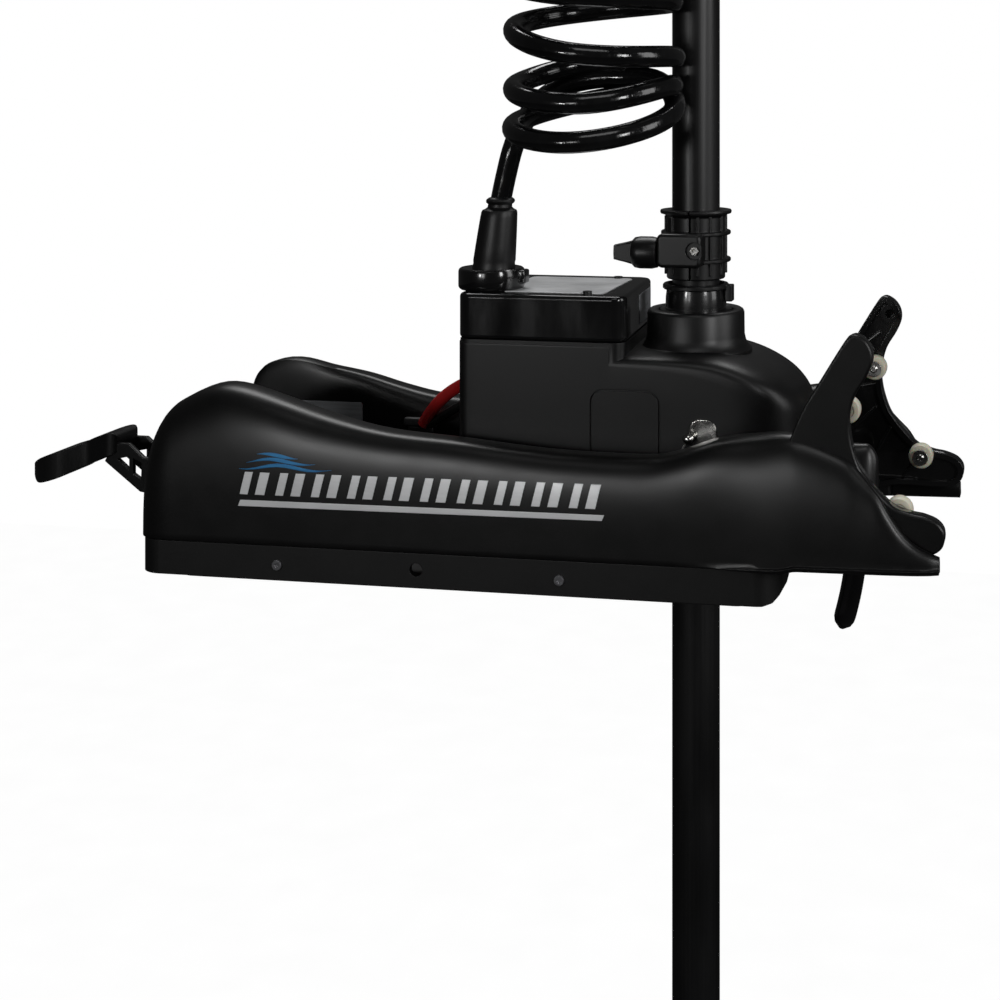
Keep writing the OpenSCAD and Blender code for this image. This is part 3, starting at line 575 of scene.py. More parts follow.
def windings(name):
    """Enamelled copper between dark laminations."""
    n = Nodes(name)
    wave = n.add("ShaderNodeTexWave", Scale=900.0, Distortion=1.2, bands_direction="X")
    n.link(n.coords, wave.inputs["Vector"])
    n.set(Base_Color=n.blend(wave.outputs["Fac"], (0.16, 0.10, 0.07), (0.45, 0.20, 0.08)))
    n.set(Metallic=0.7, Roughness=n.span(n.noise(120), 0.3, 0.5))
    n.bumps((wave.outputs["Fac"], 0.3, 0.1 * MM))
    return n.material


def foil(name, colour, dark):
    """Blank metallic label foil with a faint brushed grain."""
    n = Nodes(name)
    lines = n.noise(500, 2, stretch=(0.05, 1, 1))
    n.set(Base_Color=n.blend(n.span(lines, 0, 1), dark, colour), Metallic=0.25)
    n.set(Roughness=n.span(n.noise(40, 4), 0.30, 0.42))
    n.bumps((lines, 0.08, 0.02 * MM))
    return n.material


MATERIAL = {
    "cover": moulded("cover_plastic", (0.0030, 0.0030, 0.0031), rough=0.32, grain=1300, depth=0.06),
    "base": moulded("base_plastic", (0.0034, 0.0034, 0.0035), rough=0.44, grain=1300, depth=0.06),
    "housing": moulded("housing_plastic", (0.0034, 0.0034, 0.0036), rough=0.38, grain=1300, depth=0.06),
    "satin": moulded("satin_plastic", (0.0048, 0.0048, 0.0050), rough=0.33, grain=1100, depth=0.03),
    "gloss": glossy("gloss_plastic", (0.0028, 0.0028, 0.0030)),
    "sleeve": glossy("sleeve_gloss", (0.0040, 0.0040, 0.0042), rough=0.2, wave=0.06),
    "arm_gloss": glossy("arm_gloss", (0.0036, 0.0036, 0.0038), rough=0.16, wave=0.12),
    "cord": cord_jacket("cord_jacket", (0.0035, 0.0035, 0.0037)),
    "rubber": moulded("rubber_black", (0.0050, 0.0050, 0.0052), rough=0.40, grain=700, depth=0.03),
    "shaft": composite("shaft_composite", (0.0055, 0.0055, 0.0058)),
    "steel": steel("turned_steel"),
    "bright": steel("bright_steel", (0.74, 0.73, 0.70), rough=0.16),
    "zinc": steel("zinc_sheet", (0.42, 0.42, 0.43), rough=0.36),
    "spring": steel("spring_wire", (0.36, 0.36, 0.38), rough=0.3),
    "brass": steel("brass", (0.66, 0.46, 0.20), rough=0.28),
    "magnet": steel("ferrite", (0.16, 0.16, 0.17), rough=0.55),
    "can": steel("motor_can", (0.36, 0.36, 0.38), rough=0.34),
    "nylon": nylon("roller_nylon", (0.80, 0.77, 0.62)),
    "gear": nylon("gear_nylon", (0.74, 0.71, 0.60)),
    "red": glossy("wire_red", (0.46, 0.012, 0.012), rough=0.3, wave=0.2),
    "yellow": glossy("wire_yellow", (0.75, 0.55, 0.03), rough=0.3, wave=0.2),
    "grey": moulded("connector_grey", (0.05, 0.05, 0.052), rough=0.5),
    "label": foil("label_foil", (0.86, 0.87, 0.88), (0.78, 0.79, 0.80)),
    "dim_label": foil("dim_label", (0.36, 0.37, 0.39), (0.27, 0.28, 0.29)),
    "silver": foil("stripe_silver", (0.95, 0.96, 0.97), (0.90, 0.91, 0.92)),
    "blue": foil("wave_blue", (0.03, 0.24, 0.52), (0.02, 0.17, 0.42)),
    "pod": coated("pod_coat", (0.0055, 0.0055, 0.0060)),
    "prop": moulded("prop_plastic", (0.0055, 0.0055, 0.0060), rough=0.30, grain=1000, depth=0.02),
    "board": board("circuit_board"),
    "windings": windings("windings"),
    "brush": moulded("brush_board", (0.10, 0.075, 0.05), rough=0.6),
}


# ---- Side covers ----

MID_CREST = [(-140, 98), (-84, 93), (-46, 91.6), (-8, 92), (7, 95.5), (31, 104), (56, 108.3), (78, 110.5),
    (94, 106.6), (106, 102), (115, 97.5), (120, 92.6), (127, 84.5), (134, 76.7), (140, 67), (146, 58),
    (152, 51.5), (158.5, 47), (165, 44), (170, 42)]
CREST_NEAR = [(-353, 60), (-352, 74), (-350.5, 84), (-348, 93), (-342, 105), (-336, 112), (-330, 116),
    (-316, 123), (-303, 126.6), (-290, 126.4), (-274, 123), (-255, 117.6), (-232, 111), (-201, 104),
    (-177, 100.6)] + MID_CREST
CREST_FAR = [(-353, 70), (-352, 84), (-350, 94), (-346, 106), (-340, 113.5), (-330, 118), (-320, 120),
    (-308, 119.4), (-289, 114.7), (-262, 109), (-236, 101.6), (-210, 95.6), (-177, 93.4),
    (-140, 93)] + MID_CREST[1:]
SEAM = [(-355, BASE_H), (base_hi.x, BASE_H), (base_hi.x + 10, BASE_H + 2.5), (170, BASE_H + 4)]
COVER_OUT = [(-353, 86), (-351, 90.5), (-346, 95), (-339, 97.4), (-330, 98.3), (0, 98.4), (40, 101),
    (70, 104), (110, 105), (150, 105), (164, 103.5), (170, 101.5)]
RIDGE_Y = [(-353, 67), (-330, 66), (-300, 66), (-240, 72), (-177, 79), (30, 79), (60, 80.5), (80, 86),
    (118, 91), (135, 98), (170, 98)]
COVER_IN = 60.5
COVER_SKIN = 2.6


def cover_point(crest, x, share, skin=0.0):
    """A point on a cover: share runs 0 at the outer edge, over the crest, to 1 at the inner edge."""
    out, seam, ridge = curve_at(COVER_OUT, x), line_at(SEAM, x), curve_at(RIDGE_Y, x)
    inner = lerp(COVER_IN, ARM_OUT - 2, smooth((x - 79) / 7))
    bow = smooth((x - 20) / 60)
    aft = smooth((-255 - x) / 60)
    power = lerp(lerp(0.52, 0.64, aft), 0.74, bow)
    if share > 0.5:
        power = lerp(power, 0.42, smooth((-200 - x) / 80))
    a = PI * share
    half = (out if share < 0.5 else inner) - ridge
    half -= math.copysign(min(skin, abs(half) - 0.4), half)
    y = ridge + half * abs(math.cos(a)) ** power
    return (x, y, seam + (curve_at(crest, x) - skin - seam) * max(0.0, math.sin(a)) ** power)


def cover_skin_y(crest, x, z):
    """How far out the cover's outer wall is at a station and height."""
    low, high = 0.0, 0.48
    for _ in range(24):
        mid = (low + high) / 2
        if cover_point(crest, x, mid)[2] < z:
            low = mid
        else:
            high = mid
    return cover_point(crest, x, low)[1]


def side_cover(name, crest, side):
    """A thin shell over the crest line, with a lip along the seam."""
    steps = 56
    stations = []
    x = -353.0
    while x < 170:
        stations.append(x)
        x += 1.2 if x < -344 else 3.2 if x < -328 else 6.0 if x < 70 else 2.5
    stations.append(170.0)
    rings = []
    for i, x in enumerate(stations):
        edge = i in (0, len(stations) - 1)
        out, seam = curve_at(COVER_OUT, x), line_at(SEAM, x)
        bow = smooth((x - 10) / 70)
        outer = [cover_point(crest, x, k / steps) for k in range(steps + 1)]
        most = (outer[0][1] - outer[-1][1]) / 2 - 1.0
        skin = most if edge else min(COVER_SKIN, most)
        lip = [(x, out - 1.6, seam + 0.3), (x, out - 0.4 + 1.6 * bow, seam + 0.5),
               (x, out - 0.1 + 1.8 * bow, seam + 0.5 + 2.4 * bow), (x, out + 0.1, seam + 1.2 + 2.6 * bow)]
        outer = lip + [p for p in outer if p[2] > seam + 4.4 or p[1] < out - 6]
        outer = resample(outer, steps + 6, keep=4)
        inner = [cover_point(crest, x, 1 - k / steps, skin) for k in range(steps + 1)]
        if edge:
            inner = [(px, py, seam + (pz - seam) * 0.15) for px, py, pz in inner]
        rings.append(outer + resample(inner, steps, keep=0))
    rings = [[(x, side * y, z) for x, y, z in (ring if side > 0 else ring[::-1])] for ring in rings]
    return loft(name, rings, sharp=50)


def bow_hump(name, side, ball_x):
    """The cover's inner half beside the cradle arm: it ends in a ball at the bow."""
    ball_z, ball_r = 91, 14.5
    middle, half_width = 71.6, 11.2
    nose = [ball_x + ball_r * math.sin(PI / 2 * k / 12) for k in range(13)]
    stations = [x for x in range(24, 108, 6) if x < ball_x] + nose
    rings = []
    for x in stations:
        reach = math.sqrt(max(0.0, ball_r**2 - max(0.0, x - ball_x) ** 2))
        tuck = smooth((86 - x) / 10) * 0.8
        top = min(curve_at(CREST_NEAR, min(x, 104)) - tuck, ball_z + reach)
        half = half_width * max(0.04, (reach / ball_r) ** 0.9)
        low = max(line_at(SEAM, x) + 1, ball_z - 4.2 * reach if x > ball_x else 0)
        ring = []
        for k in range(41):
            a = PI * k / 40
            y = middle + half * math.copysign(abs(math.cos(a)) ** 0.8, math.cos(a))
            ring.append((x, side * y, low + (top - low) * max(0.0, math.sin(a)) ** 0.62))
        rings.append(ring)
    return loft(name, rings, sharp=50)


def resample(points, count, keep):
    """The same line with a set number of points; the first keep points stay."""
    fixed, rest = points[:keep], [Vector(p) for p in points[max(keep - 1, 0):]]
    lengths = [0.0]
    for a, b in zip(rest, rest[1:]):
        lengths.append(lengths[-1] + (b - a).length)
    out = []
    wanted = count - keep
    start = 1 if keep else 0
    for k in range(start, wanted + start):
        goal = lengths[-1] * k / (wanted + start - 1)
        i = next((j for j in range(len(lengths) - 1) if lengths[j + 1] >= goal - 1e-9), len(lengths) - 2)
        part = lengths[i + 1] - lengths[i]
        t = (goal - lengths[i]) / part if part > 1e-9 else 0
        out.append(tuple(rest[i].lerp(rest[i + 1], t)))
    return fixed + out


for side, label, crest in ((1, "port", CREST_FAR), (-1, "starboard", CREST_NEAR)):
    dress(side_cover("cover_" + label, crest, side), "cover", "mount", "cover_black",
        "side_cover_" + label)
    dress(bow_hump("bow_hump_" + label, side, 116 if side < 0 else 72), "satin", "mount",
        "cover_black")


def on_cover(crest, corners, side, cells=6):
    """A thin film on a cover's outer wall, from four [station, height] corners."""
    lift, thick = 0.25, 0.4
    verts, faces = [], []
    a, b, c, d = (Vector(p) for p in corners)
    for level in (lift, lift - thick):
        for i in range(cells + 1):
            for j in range(5):
                p = a.lerp(b, i / cells).lerp(d.lerp(c, i / cells), j / 4)
                verts.append((p.x, side * (cover_skin_y(crest, p.x, p.y) + level), p.y))
    rows = cells + 1
    for i in range(cells):
        for j in range(4):
            q = i * 5 + j
            faces.append((q, q + 1, q + 6, q + 5))
            q += rows * 5
            faces.append((q, q + 5, q + 6, q + 1))
    loop = ([i * 5 for i in range(rows)] + [(rows - 1) * 5 + j for j in range(1, 5)]
            + [i * 5 + 4 for i in range(rows - 2, -1, -1)] + [j for j in range(3, 0, -1)])
    for p, q in zip(loop, loop[1:] + loop[:1]):
        faces.append((p, q, q + rows * 5, p + rows * 5))
    return new_mesh("film", verts, faces)


def side_graphics(side, label, crest):
    """Plain slanted bars over a plain line, and a plain wave, in place of any mark."""
    x0, x1 = -280.3, -38.6
    bars = [on_cover(crest, [(x0, 52.8), (x1, 54.2), (x1 + 1.5, 57.8), (x0 + 1.5, 56.8)], side, cells=60)]
    count = 10
    for k in range(count):
        a = lerp(x0 + 1, x1 + 3, k / count)
        for start, end in ((0, 7.5), (10.5, 19.0)):
            low = 60.4 + 0.004 * (a - x0)
            high = 74.8 + 0.0066 * (a - x0)
            bars.append(on_cover(crest, [(a + start, low), (a + end - 2, low), (a + end + 1.5, high),
                (a + start + 3.5, high)], side))
    dress(join("bars_" + label, *bars), "silver", "mount", "label_silver")
    waves = []
    for row, (start, end, base) in enumerate(((-280, -217, 77.4), (-275, -228, 81.2), (-268, -240, 85.0))):
        for k in range(12):
            xa, xb = lerp(start, end, k / 12), lerp(start, end, (k + 1) / 12)
            za, zb = (base + 1.2 * math.sin(x / 7 + row) for x in (xa, xb))
            ta, tb = (2.4 * math.sin(PI * min(max(t, 0.03), 0.97)) for t in (k / 12, (k + 1) / 12))
            waves.append(on_cover(crest, [(xa, za), (xb, zb), (xb, zb + tb), (xa, za + ta)], side, cells=2))
    dress(join("wave_" + label, *waves), "blue", "mount", "label_silver")


side_graphics(-1, "starboard", CREST_NEAR)
side_graphics(1, "port", CREST_FAR)


# ---- Cradle arms ----

ARM_HOLE_X, ARM_HOLE_Z = 121.4, 161.2
ARM_OUTLINE = [(20, BASE_H + 1), (84, BASE_H + 2), (122, 40.8), (150, 41), (164, 41.6), (170.4, 45),
    (172.8, 50.5), (172.4, 56.5), (168, 61.5), (160, 64.6), (152, 66), (142, 69.4), (132.8, 77.5),
    (125, 87), (120.2, 95), (116, 109), (115.3, 122), (118.3, 135.6), (125.4, 147.6), (129, 156.5),
    (128.6, 163.7), (125, 169.6), (119.6, 173), (115.6, 172.4), (111.6, 168), (98, 146), (84.4, 122.7),
    (72, 90), (58, 54), (20, 42)]
ARM_RIBS = [((92, 130), (115, 148)), ((101, 146), (111, 134)), ((86, 106), (113, 112)), ((74, 60), (112, 96)),
            ((100, 42), (122, 82)), ((130, 45), (142, 66)), ((60, 48), (140, 46))]


def cradle_arm():
    """A plate with a raised rim, ribs and a hole boss on its inner face."""
    outline = closed_curve(ARM_OUTLINE, 5)
    plate = prism("arm", outline, ARM_IN + 2.5, ARM_OUT, 1.4)
    hole = [(0.01, -8), (3.0, -8), (3.0, 5.5), (0.01, 5.5)]
    cut(plate, lathe("hole", hole, (ARM_HOLE_X, ARM_OUT - 8, ARM_HOLE_Z), "Y", 32))
    rim_out = inset_outline(outline, 0.4)
    rim_in = inset_outline(outline, 4.2)
    count = len(outline)
    verts = [(x, y, z) for y in (ARM_IN + 3.5, ARM_IN) for x, z in rim_out]
    verts += [(x, y, z) for y in (ARM_IN + 3.5, ARM_IN) for x, z in rim_in]
    faces = []
    for k in range(count):
        q = (k + 1) % count
        faces += [(k, q, count + q, count + k), (2 * count + k, 3 * count + k, 3 * count + q, 2 * count + q),
                  (count + k, count + q, 3 * count + q, 3 * count + k), (k, 2 * count + k, 2 * count + q, q)]
    rim = round_edges(new_mesh("rim", verts, faces), 0.8, 2)
    ribs = []
    for (xa, za), (xb, zb) in ARM_RIBS:
        direction = Vector((xb - xa, zb - za)).normalized() * 1.1
        side = (-direction.y, direction.x)
        line = [(xa + side[0], za + side[1]), (xa - side[0], za - side[1]),
                (xb - side[0], zb - side[1]), (xb + side[0], zb + side[1])]
        ribs.append(prism("rib", line, ARM_IN + 1.0, ARM_IN + 3.5, 0.4, segments=2))
    boss = [(3.2, 0), (6.6, 0), (6.6, 5.5), (3.2, 5.5)]
    ribs.append(lathe("boss", boss, (ARM_HOLE_X, ARM_IN + 0.2, ARM_HOLE_Z), "Y", 32))
    return join("arm", plate, rim, *ribs)


arm = cradle_arm()
arm_starboard = mirrored(arm, "arm_starboard")
arm.name = "arm_port"
dress(arm, "arm_gloss", "mount", "arm_black", "cradle_arm_port")
dress(arm_starboard, "arm_gloss", "mount", "arm_black", "cradle_arm_starboard")
# The outer face of each arm is grained like the covers; its ribbed inner face is glossy
for piece in (arm, arm_starboard):
    piece.data.materials.append(MATERIAL["cover"])
    for face in piece.data.polygons:
        if abs(face.center.y) > (ARM_OUT - 2) * MM:
            face.material_index = 1


def roller(node, body):
    """A roller with rounded rims on its own body."""
    lo, hi = span(node)
    r, width = (hi.x - lo.x) / 2, hi.y - lo.y
    profile = [(3.2, 0.5), (4.6, 0.5), (4.8, 0), (r - 2.4, 0), (r - 0.8, 0.5), (r - 0.1, 1.8),
        (r, width / 2), (r - 0.1, width - 1.8), (r - 0.8, width - 0.5), (r - 2.4, width), (4.8, width),
        (4.6, width - 0.5), (3.2, width - 0.5)]
    piece = lathe("wheel_" + node, profile, ((lo.x + hi.x) / 2, lo.y, (lo.z + hi.z) / 2), "Y", 56)
    dress(piece, "nylon", body, "roller_ivory", node)


for level in ("upper", "lower"):
    for side in ("starboard", "port"):
        roller(f"roller_{level}_{side}", f"{level}_roller_{side}")


def roller_bolt_heads():
    """Domed socket heads and washers on both sides of the cradle."""
    heads = []
    for level in ("upper", "lower"):
        lo, hi = span(f"roller_{level}_port")
        x, z, y = (lo.x + hi.x) / 2, (lo.z + hi.z) / 2, lo.y
        for side in (-1, 1):
            dome = [(0.01, -3.4), (1.6, -3.3), (2.8, -2.6), (3.4, -1.4), (3.6, 0.0), (2.4, 0.1), (0.01, 0.1)]
            hex_cut = [(0.01, -4), (1.6, -4), (1.6, -2.2), (0.01, -2.2)]
            head = lathe("head", [(r, side * d) for r, d in dome], (x, side * (y - 0.4), z), "Y", 40)
            socket = lathe("socket", [(r, side * d) for r, d in hex_cut], (x, side * (y - 0.4), z), "Y", 6)
            heads.append(cut(head, socket))
            washer = [(3.1, -0.1), (5.0, -0.1), (5.3, 0.1), (5.3, 0.4), (3.1, 0.4)]
            heads.append(lathe("washer", [(r, side * d) for r, d in washer], (x, side * (y - 0.4), z),
                "Y", 40))
    return join("roller_bolt_heads", *heads)


dress(roller_bolt_heads(), "bright", "mount", "steel")


# ---- Steering housing ----

DOME_TOP = [(-46, 148.5), (-30, 149.6), (0, 150), (20, 149.2), (34, 146), (48, 140.5), (60, 134), (67, 128.5),
            (73, 122), (77.2, 115), (78.4, 111)]
SHOULDER = [(-46, 147), (-19, 145.4), (3, 143), (16, 140.4), (29.5, 136.5), (40, 132.4), (48, 128),
    (59, 120), (66, 115), (78.4, 111)]
HOUSING_FLOOR = [(-149, 58), (-146, 44), (-134, 32), (56, 32), (64, 40), (64.2, 80), (66, 90), (72, 98),
    (78.4, 109)]


def housing_ring(x, top, shoulder, half):
    """Section of the housing: flat sides, a small shoulder and a gently crowned top."""
    low = line_at(HOUSING_FLOOR, x)
    foot = min(4, half - 0.5)
    shoulder = max(shoulder - 5, low + foot + 1)
    top = max(top, shoulder + 1)
    ring = [(x, half - foot + px, low + foot + pz) for px, pz in arc(0, 0, foot, -90, 0, 4)]
    ring += [(x, half, lerp(low + foot, shoulder, k / 5)) for k in range(1, 5)]
    for k in range(19):
        a = PI / 2 * k / 18
        ring.append((x, half * math.cos(a) ** 0.42, shoulder + (top - shoulder) * math.sin(a) ** 0.52))
    return ring + [(px, -py, pz) for px, py, pz in reversed(ring[:-1])]


def lid_outline():
    """The lid's plan: its bow end runs back towards the port side."""
    square = rounded_outline(BOX_AFT, -39, -BOX_Y, BOX_Y, 9, 8)
    return [(x - 0.07 * y if x > -60 else x, y) for x, y in square]


def steering_housing():
    """The box, its dome with the shaft boss, the seat of the lid and the groove round the panel."""
    boss_foot = 146
    rings = []
    corner = 8
    for k in range(7):
        a = PI / 2 * k / 6
        x = BOX_AFT + corner * (1 - math.cos(a))
        rings.append(housing_ring(x, LID_Z - 0.4, LID_Z + 2, BOX_Y - corner * (1 - math.sin(a))))
    for x in (-134, -120, -90, -60, -46.2):
        rings.append(housing_ring(x, LID_Z - 0.4, LID_Z + 2, BOX_Y))
    bow = box_hi.x
    for x in [-46, -42, -36] + [-30 + 5 * k for k in range(12)]:
        rings.append(housing_ring(x, curve_at(DOME_TOP, x), curve_at(SHOULDER, x), BOX_Y))
    for k in range(1, 25):
        share = math.sin(PI / 2 * k / 24)
        x = lerp(26, bow, share)
        half = max(BOX_Y * (1 - share**3) ** (1 / 3), 3)
        rings.append(housing_ring(x, curve_at(DOME_TOP, x), curve_at(SHOULDER, x), half))
    body = loft("housing_body", rings, sharp=40)
    boss = [(24.6, -40), (36, -40), (37.8, 1.5), (35.2, 4), (33.6, 7), (32.7, 11), (32.5, 25.4), (31.8, 27),
            (30.4, 27.9), (26.4, 27.9), (25.2, 27.2), (24.6, 25)]
    top = lathe("boss", boss, (0, 0, boss_foot))
    cut(body, top, "UNION")
    well = lathe("well", [(0.01, 8), (24.7, 8), (24.7, 40), (0.01, 40)], (0, 0, boss_foot))
    cut(body, well)
    cut(body, slab("step", inset_outline(lid_outline(), 0.3), 140, LID_Z + 0.1, 0), "UNION")
    panel = rounded_outline(-58.5, -12, 60, 127.5, 9)
    groove = prism("groove", panel, -BOX_Y - 2, -BOX_Y + 1.2, 0)
    cut(groove, prism("island", inset_outline(panel, 1.2), -BOX_Y - 3, -BOX_Y + 3, 0))
    return cut(body, groove)


housing = steering_housing()
housing.name = "housing_shell"
dress(housing, "housing", "housing", "housing_black", "steering_housing", "access_panel")


def lid():
    """The lid, a blank foil plate on it and a grey plate on its bow face."""
    dress(slab("lid", lid_outline(), LID_Z + 0.3, LID_TOP, 2.6, segments=5), "gloss", "housing",
        "lid_gloss", "housing_lid")
    plate = slab("lid_plate", rounded_outline(-125, -53, -40, 40, 5), LID_TOP - 0.1, LID_TOP + 0.35, 0.15)
    dress(plate, "label", "housing", "label_silver", "lid_label")
    outline = [(-39 - 0.07 * y + out, y) for out, y in ((-2, 0), (0.4, 0), (0.4, 44), (-2, 44))]
    window = slab("lid_window", outline, LID_Z + 4.5, LID_TOP - 5.5, 0.3)
    dress(window, "dim_label", "housing", "label_silver")


lid()


def strike_and_stud():
    """Small plate on the housing's side with a stud and a wire end."""
    y = -BOX_Y
    plate = prism("strike", rounded_outline(7.5, 25, 92, 110.6, 7), y - 2, y, 0.5, segments=2)
    stud = lathe("stud", [(0.01, 0), (2.2, 0), (2.2, -2.5), (3.2, -3.4), (3.8, -5), (3.8, -6.2), (3.4, -7.6),
                          (2.4, -8.8), (1.2, -9.4), (0.01, -9.5)], (8.2, y - 1.5, 99), "Y", 36)
    wire = tube("wire", [(7, y - 5.5, 98), (5, y - 6, 94), (2.6, y - 6, 90), (0, y - 5, 80)], 0.6, 8)
    return join("strike_and_stud", plate, stud, wire)


dress(strike_and_stud(), "bright", "housing", "steel", "strike_plate")


# ---- Plug and coil cord ----

def plug():
    """The cord's plug and the threaded ring that holds it."""
    z = LID_TOP
    nut_x = PLUG_X - 1.5
    profile = [(9.2, 0), (20.4, 0), (21.4, 0.8), (22, 2), (22, 11.8), (21.6, 13.2), (20.6, 14), (9.2, 14)]
    nut = lathe("nut", profile, (nut_x, PLUG_Y, z))
    lug = slab("lug", rounded_outline(nut_x + 18, nut_x + 25, PLUG_Y - 6, PLUG_Y + 6, 2.5), z + 4, z + 13,
        1.2)
    dress(join("plug_ring", nut, lug), "gloss", "housing", "knob_black", "plug_nut")
    heights = [(8, 13.0), (12, 14.2), (15, 14.3), (17, 13.8), (19, 14.1), (28, 13.6), (38, 13.0),
        (48, 12.3), (51, 12.0), (52.4, 11.4), (53.4, 9.4), (54.4, 8.2), (56.4, 8.0), (57.4, 9.3),
        (58.6, 9.7), (59.8, 9.2), (60.8, 7.7), (61.5, 4)]
    rings = []
    for up, r in heights:
        x = nut_x + 6.4 * up / 60
        rings.append([(x + r * math.cos(2 * PI * k / 64), PLUG_Y + r * math.sin(2 * PI * k / 64), z + up)
                      for k in range(64)])
    return loft("plug_body", rings)


dress(plug(), "rubber", "housing", "cord_black", "cord_plug")

CORD_R = 6.9
COIL_X, COIL_Y, COIL_R, COIL_RISE = -55.6, -54.0, 51.7, 33.0
# Heights of the coil at its quarter turns, from the back of the first loop round by the bow
QUARTERS = [(0, 328), (0.4, 326.5), (1, 307), (2, 289), (3, 299), (4, 315), (5, 323.5), (6, 313),
    (7, 324), (8, 340), (9, 342), (10, 344), (11, 362.5), (12, 374), (13, 378), (14, 380), (15, 391.5)]
SPLIT_QUARTER, LAST_QUARTER = 11, 35


def coil_point(quarter):
    """A point on the coil, counted in quarter turns."""
    spare = max(0.0, quarter - QUARTERS[-1][0])
    z = curve_at(QUARTERS, quarter) + COIL_RISE * spare / 4 - 3 * math.sin(PI * spare / 2)
    a = PI / 2 * (1 - quarter)
    r = COIL_R + 0.8 * math.sin(quarter * 0.9)
    return Vector((COIL_X + r * math.cos(a), COIL_Y + r * math.sin(a), z))


def coil():
    """The cord from the plug to the head, in two parts."""
    per_quarter = 16
    start = coil_point(0)
    lead_in = [(PLUG_X + 4.6, PLUG_Y, LID_TOP + 57), (-124.5, PLUG_Y, 262), (-119.5, PLUG_Y, 281),
               (-114, -20, 297), (-105, -11, 312), (-88, -4, 323), tuple(start), tuple(coil_point(0.5))]
    lead = open_curve(lead_in, 12)[:-12]
    split, end = SPLIT_QUARTER * per_quarter, LAST_QUARTER * per_quarter
    lower = lead + [coil_point(k / per_quarter) for k in range(split + 1)]
    upper = [coil_point(k / per_quarter) for k in range(split, end + 1)]
    last = coil_point(LAST_QUARTER)
    entry = Vector((-62, -34, head_base_lo.z + 26))
    upper += [bezier([last, last + Vector((0, 22, 5)), entry + Vector((0, 0, -22)), entry], k / 30)
              for k in range(1, 31)]
    return tube("cord_lower", lower, CORD_R, 20), tube("cord_upper", upper, CORD_R, 20)


cord_lower, cord_upper = coil()
for cord, node in ((cord_lower, "coil_cord_lower"), (cord_upper, "coil_cord_upper")):
    cord.data.materials.append(MATERIAL["cord"])
    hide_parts(node)
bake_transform(cord_lower)
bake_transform(cord_upper)


# ---- Collar, sleeve, knob ----

COLLAR_FINS = (206.6, 224.6)
CLAMP_SCREW_X, CLAMP_Z = 5.5, 215


def collar():
    """Split shell with two fins and upright ribs."""
    z0, z1 = collar_lo.z + 3, collar_hi.z
    inner = SHAFT_R + 0.15
    profile = [(inner, z0), (19.0, z0), (19.6, z0 + 0.8), (19.6, z1 - 5), (21, z1 - 3.4), (23.6, z1 - 2.6),
               (24, z1 - 1.4), (23.6, z1 - 0.3), (inner + 1, z1), (inner, z1 - 0.6)]
    body = lathe("collar", profile)
    slot = slab("slot", [(-0.7, -40), (0.7, -40), (0.7, 40), (-0.7, 40)], z0 - 1, z1 + 1, 0)
    cut(body, slot)
    fin = [(inner, -1.3), (22.8, -1.3), (23.4, -0.7), (23.4, 0.7), (22.8, 1.3), (inner, 1.3)]
    parts = [body] + [lathe("fin", fin, (0, 0, z)) for z in COLLAR_FINS]
    for a in (-50, -20, 20, 50, 130, 160, 200, 230, -75, 75, 105):
        angle = math.radians(a)
        x, y = 19.6 * math.cos(angle), 19.6 * math.sin(angle)
        rib = slab("rib", rounded_outline(-0.9, 0.9, -1.6, 1.6, 0.6, 3), z0 + 3, z1 - 4, 0.3)
        rib.data.transform(Matrix.Translation(-place((0, 0, 0))))
        rib.data.transform(Matrix.Rotation(angle + PI / 2, 4, "Z"))
        rib.data.transform(Matrix.Translation(place((x, y, 0))))
        parts.append(rib)
    return join("collar_shell", *parts)


dress(collar(), "satin", "sleeve", "collar_black", "collar_bow_half", "collar_aft_half")


def clamp_block():
    """Ears of the collar that the clamp screw draws together."""
    block = prism("clamp_block", rounded_outline(-20, 10, CLAMP_Z - 11.4, CLAMP_Z + 11, 4), -32, -14, 2.4,
        segments=5)
    recess = lathe("recess", [(0.01, -4), (6, -4), (5.6, 2.2), (0.01, 2.2)],
        (CLAMP_SCREW_X, -32, CLAMP_Z), "Y", 40)
    cut(block, recess)
    shaft_bore = lathe("bore", [(0.01, 190), (SHAFT_R + 0.15, 190), (SHAFT_R + 0.15, 240), (0.01, 240)])
    return cut(block, shaft_bore)


dress(clamp_block(), "satin", "sleeve", "collar_black")
screw = lathe("clamp_screw", [(0.01, 1.2), (1.3, 1.2), (1.3, 0), (2.8, 0), (3.1, 0.6), (3.1, 3.6),
    (0.01, 3.6)], (CLAMP_SCREW_X, -32.4, CLAMP_Z), "Y", 6, sharp=20)
dress(screw, "bright", "sleeve", "steel")


def sleeve():
    """Glossy neck, and the skirt and dog that drive the collar."""
    inner = SHAFT_R + 0.1
    top = sleeve_hi.z
    neck = lathe("neck", [(inner, 100), (20.4, 100), (20.4, 176), (20.2, 182), (19.4, 188), (inner, 188)])
    skirt = lathe("skirt", [(19.0, 187), (21.4, 187), (22.2, 187.8), (22.2, top - 1.4), (21.4, top - 0.4),
        (19.0, top - 0.4)])
    dog = slab("dog", rounded_outline(20.0, 25.4, -4.5, 4.5, 1.2, 4), 179, 190, 0.6)
    return neck, join("sleeve_skirt", skirt, dog)


neck, skirt = sleeve()
dress(neck, "sleeve", "sleeve", "sleeve_gloss", "steering_sleeve")
neck.name = "sleeve_neck"
dress(skirt, "satin", "sleeve", "collar_black")


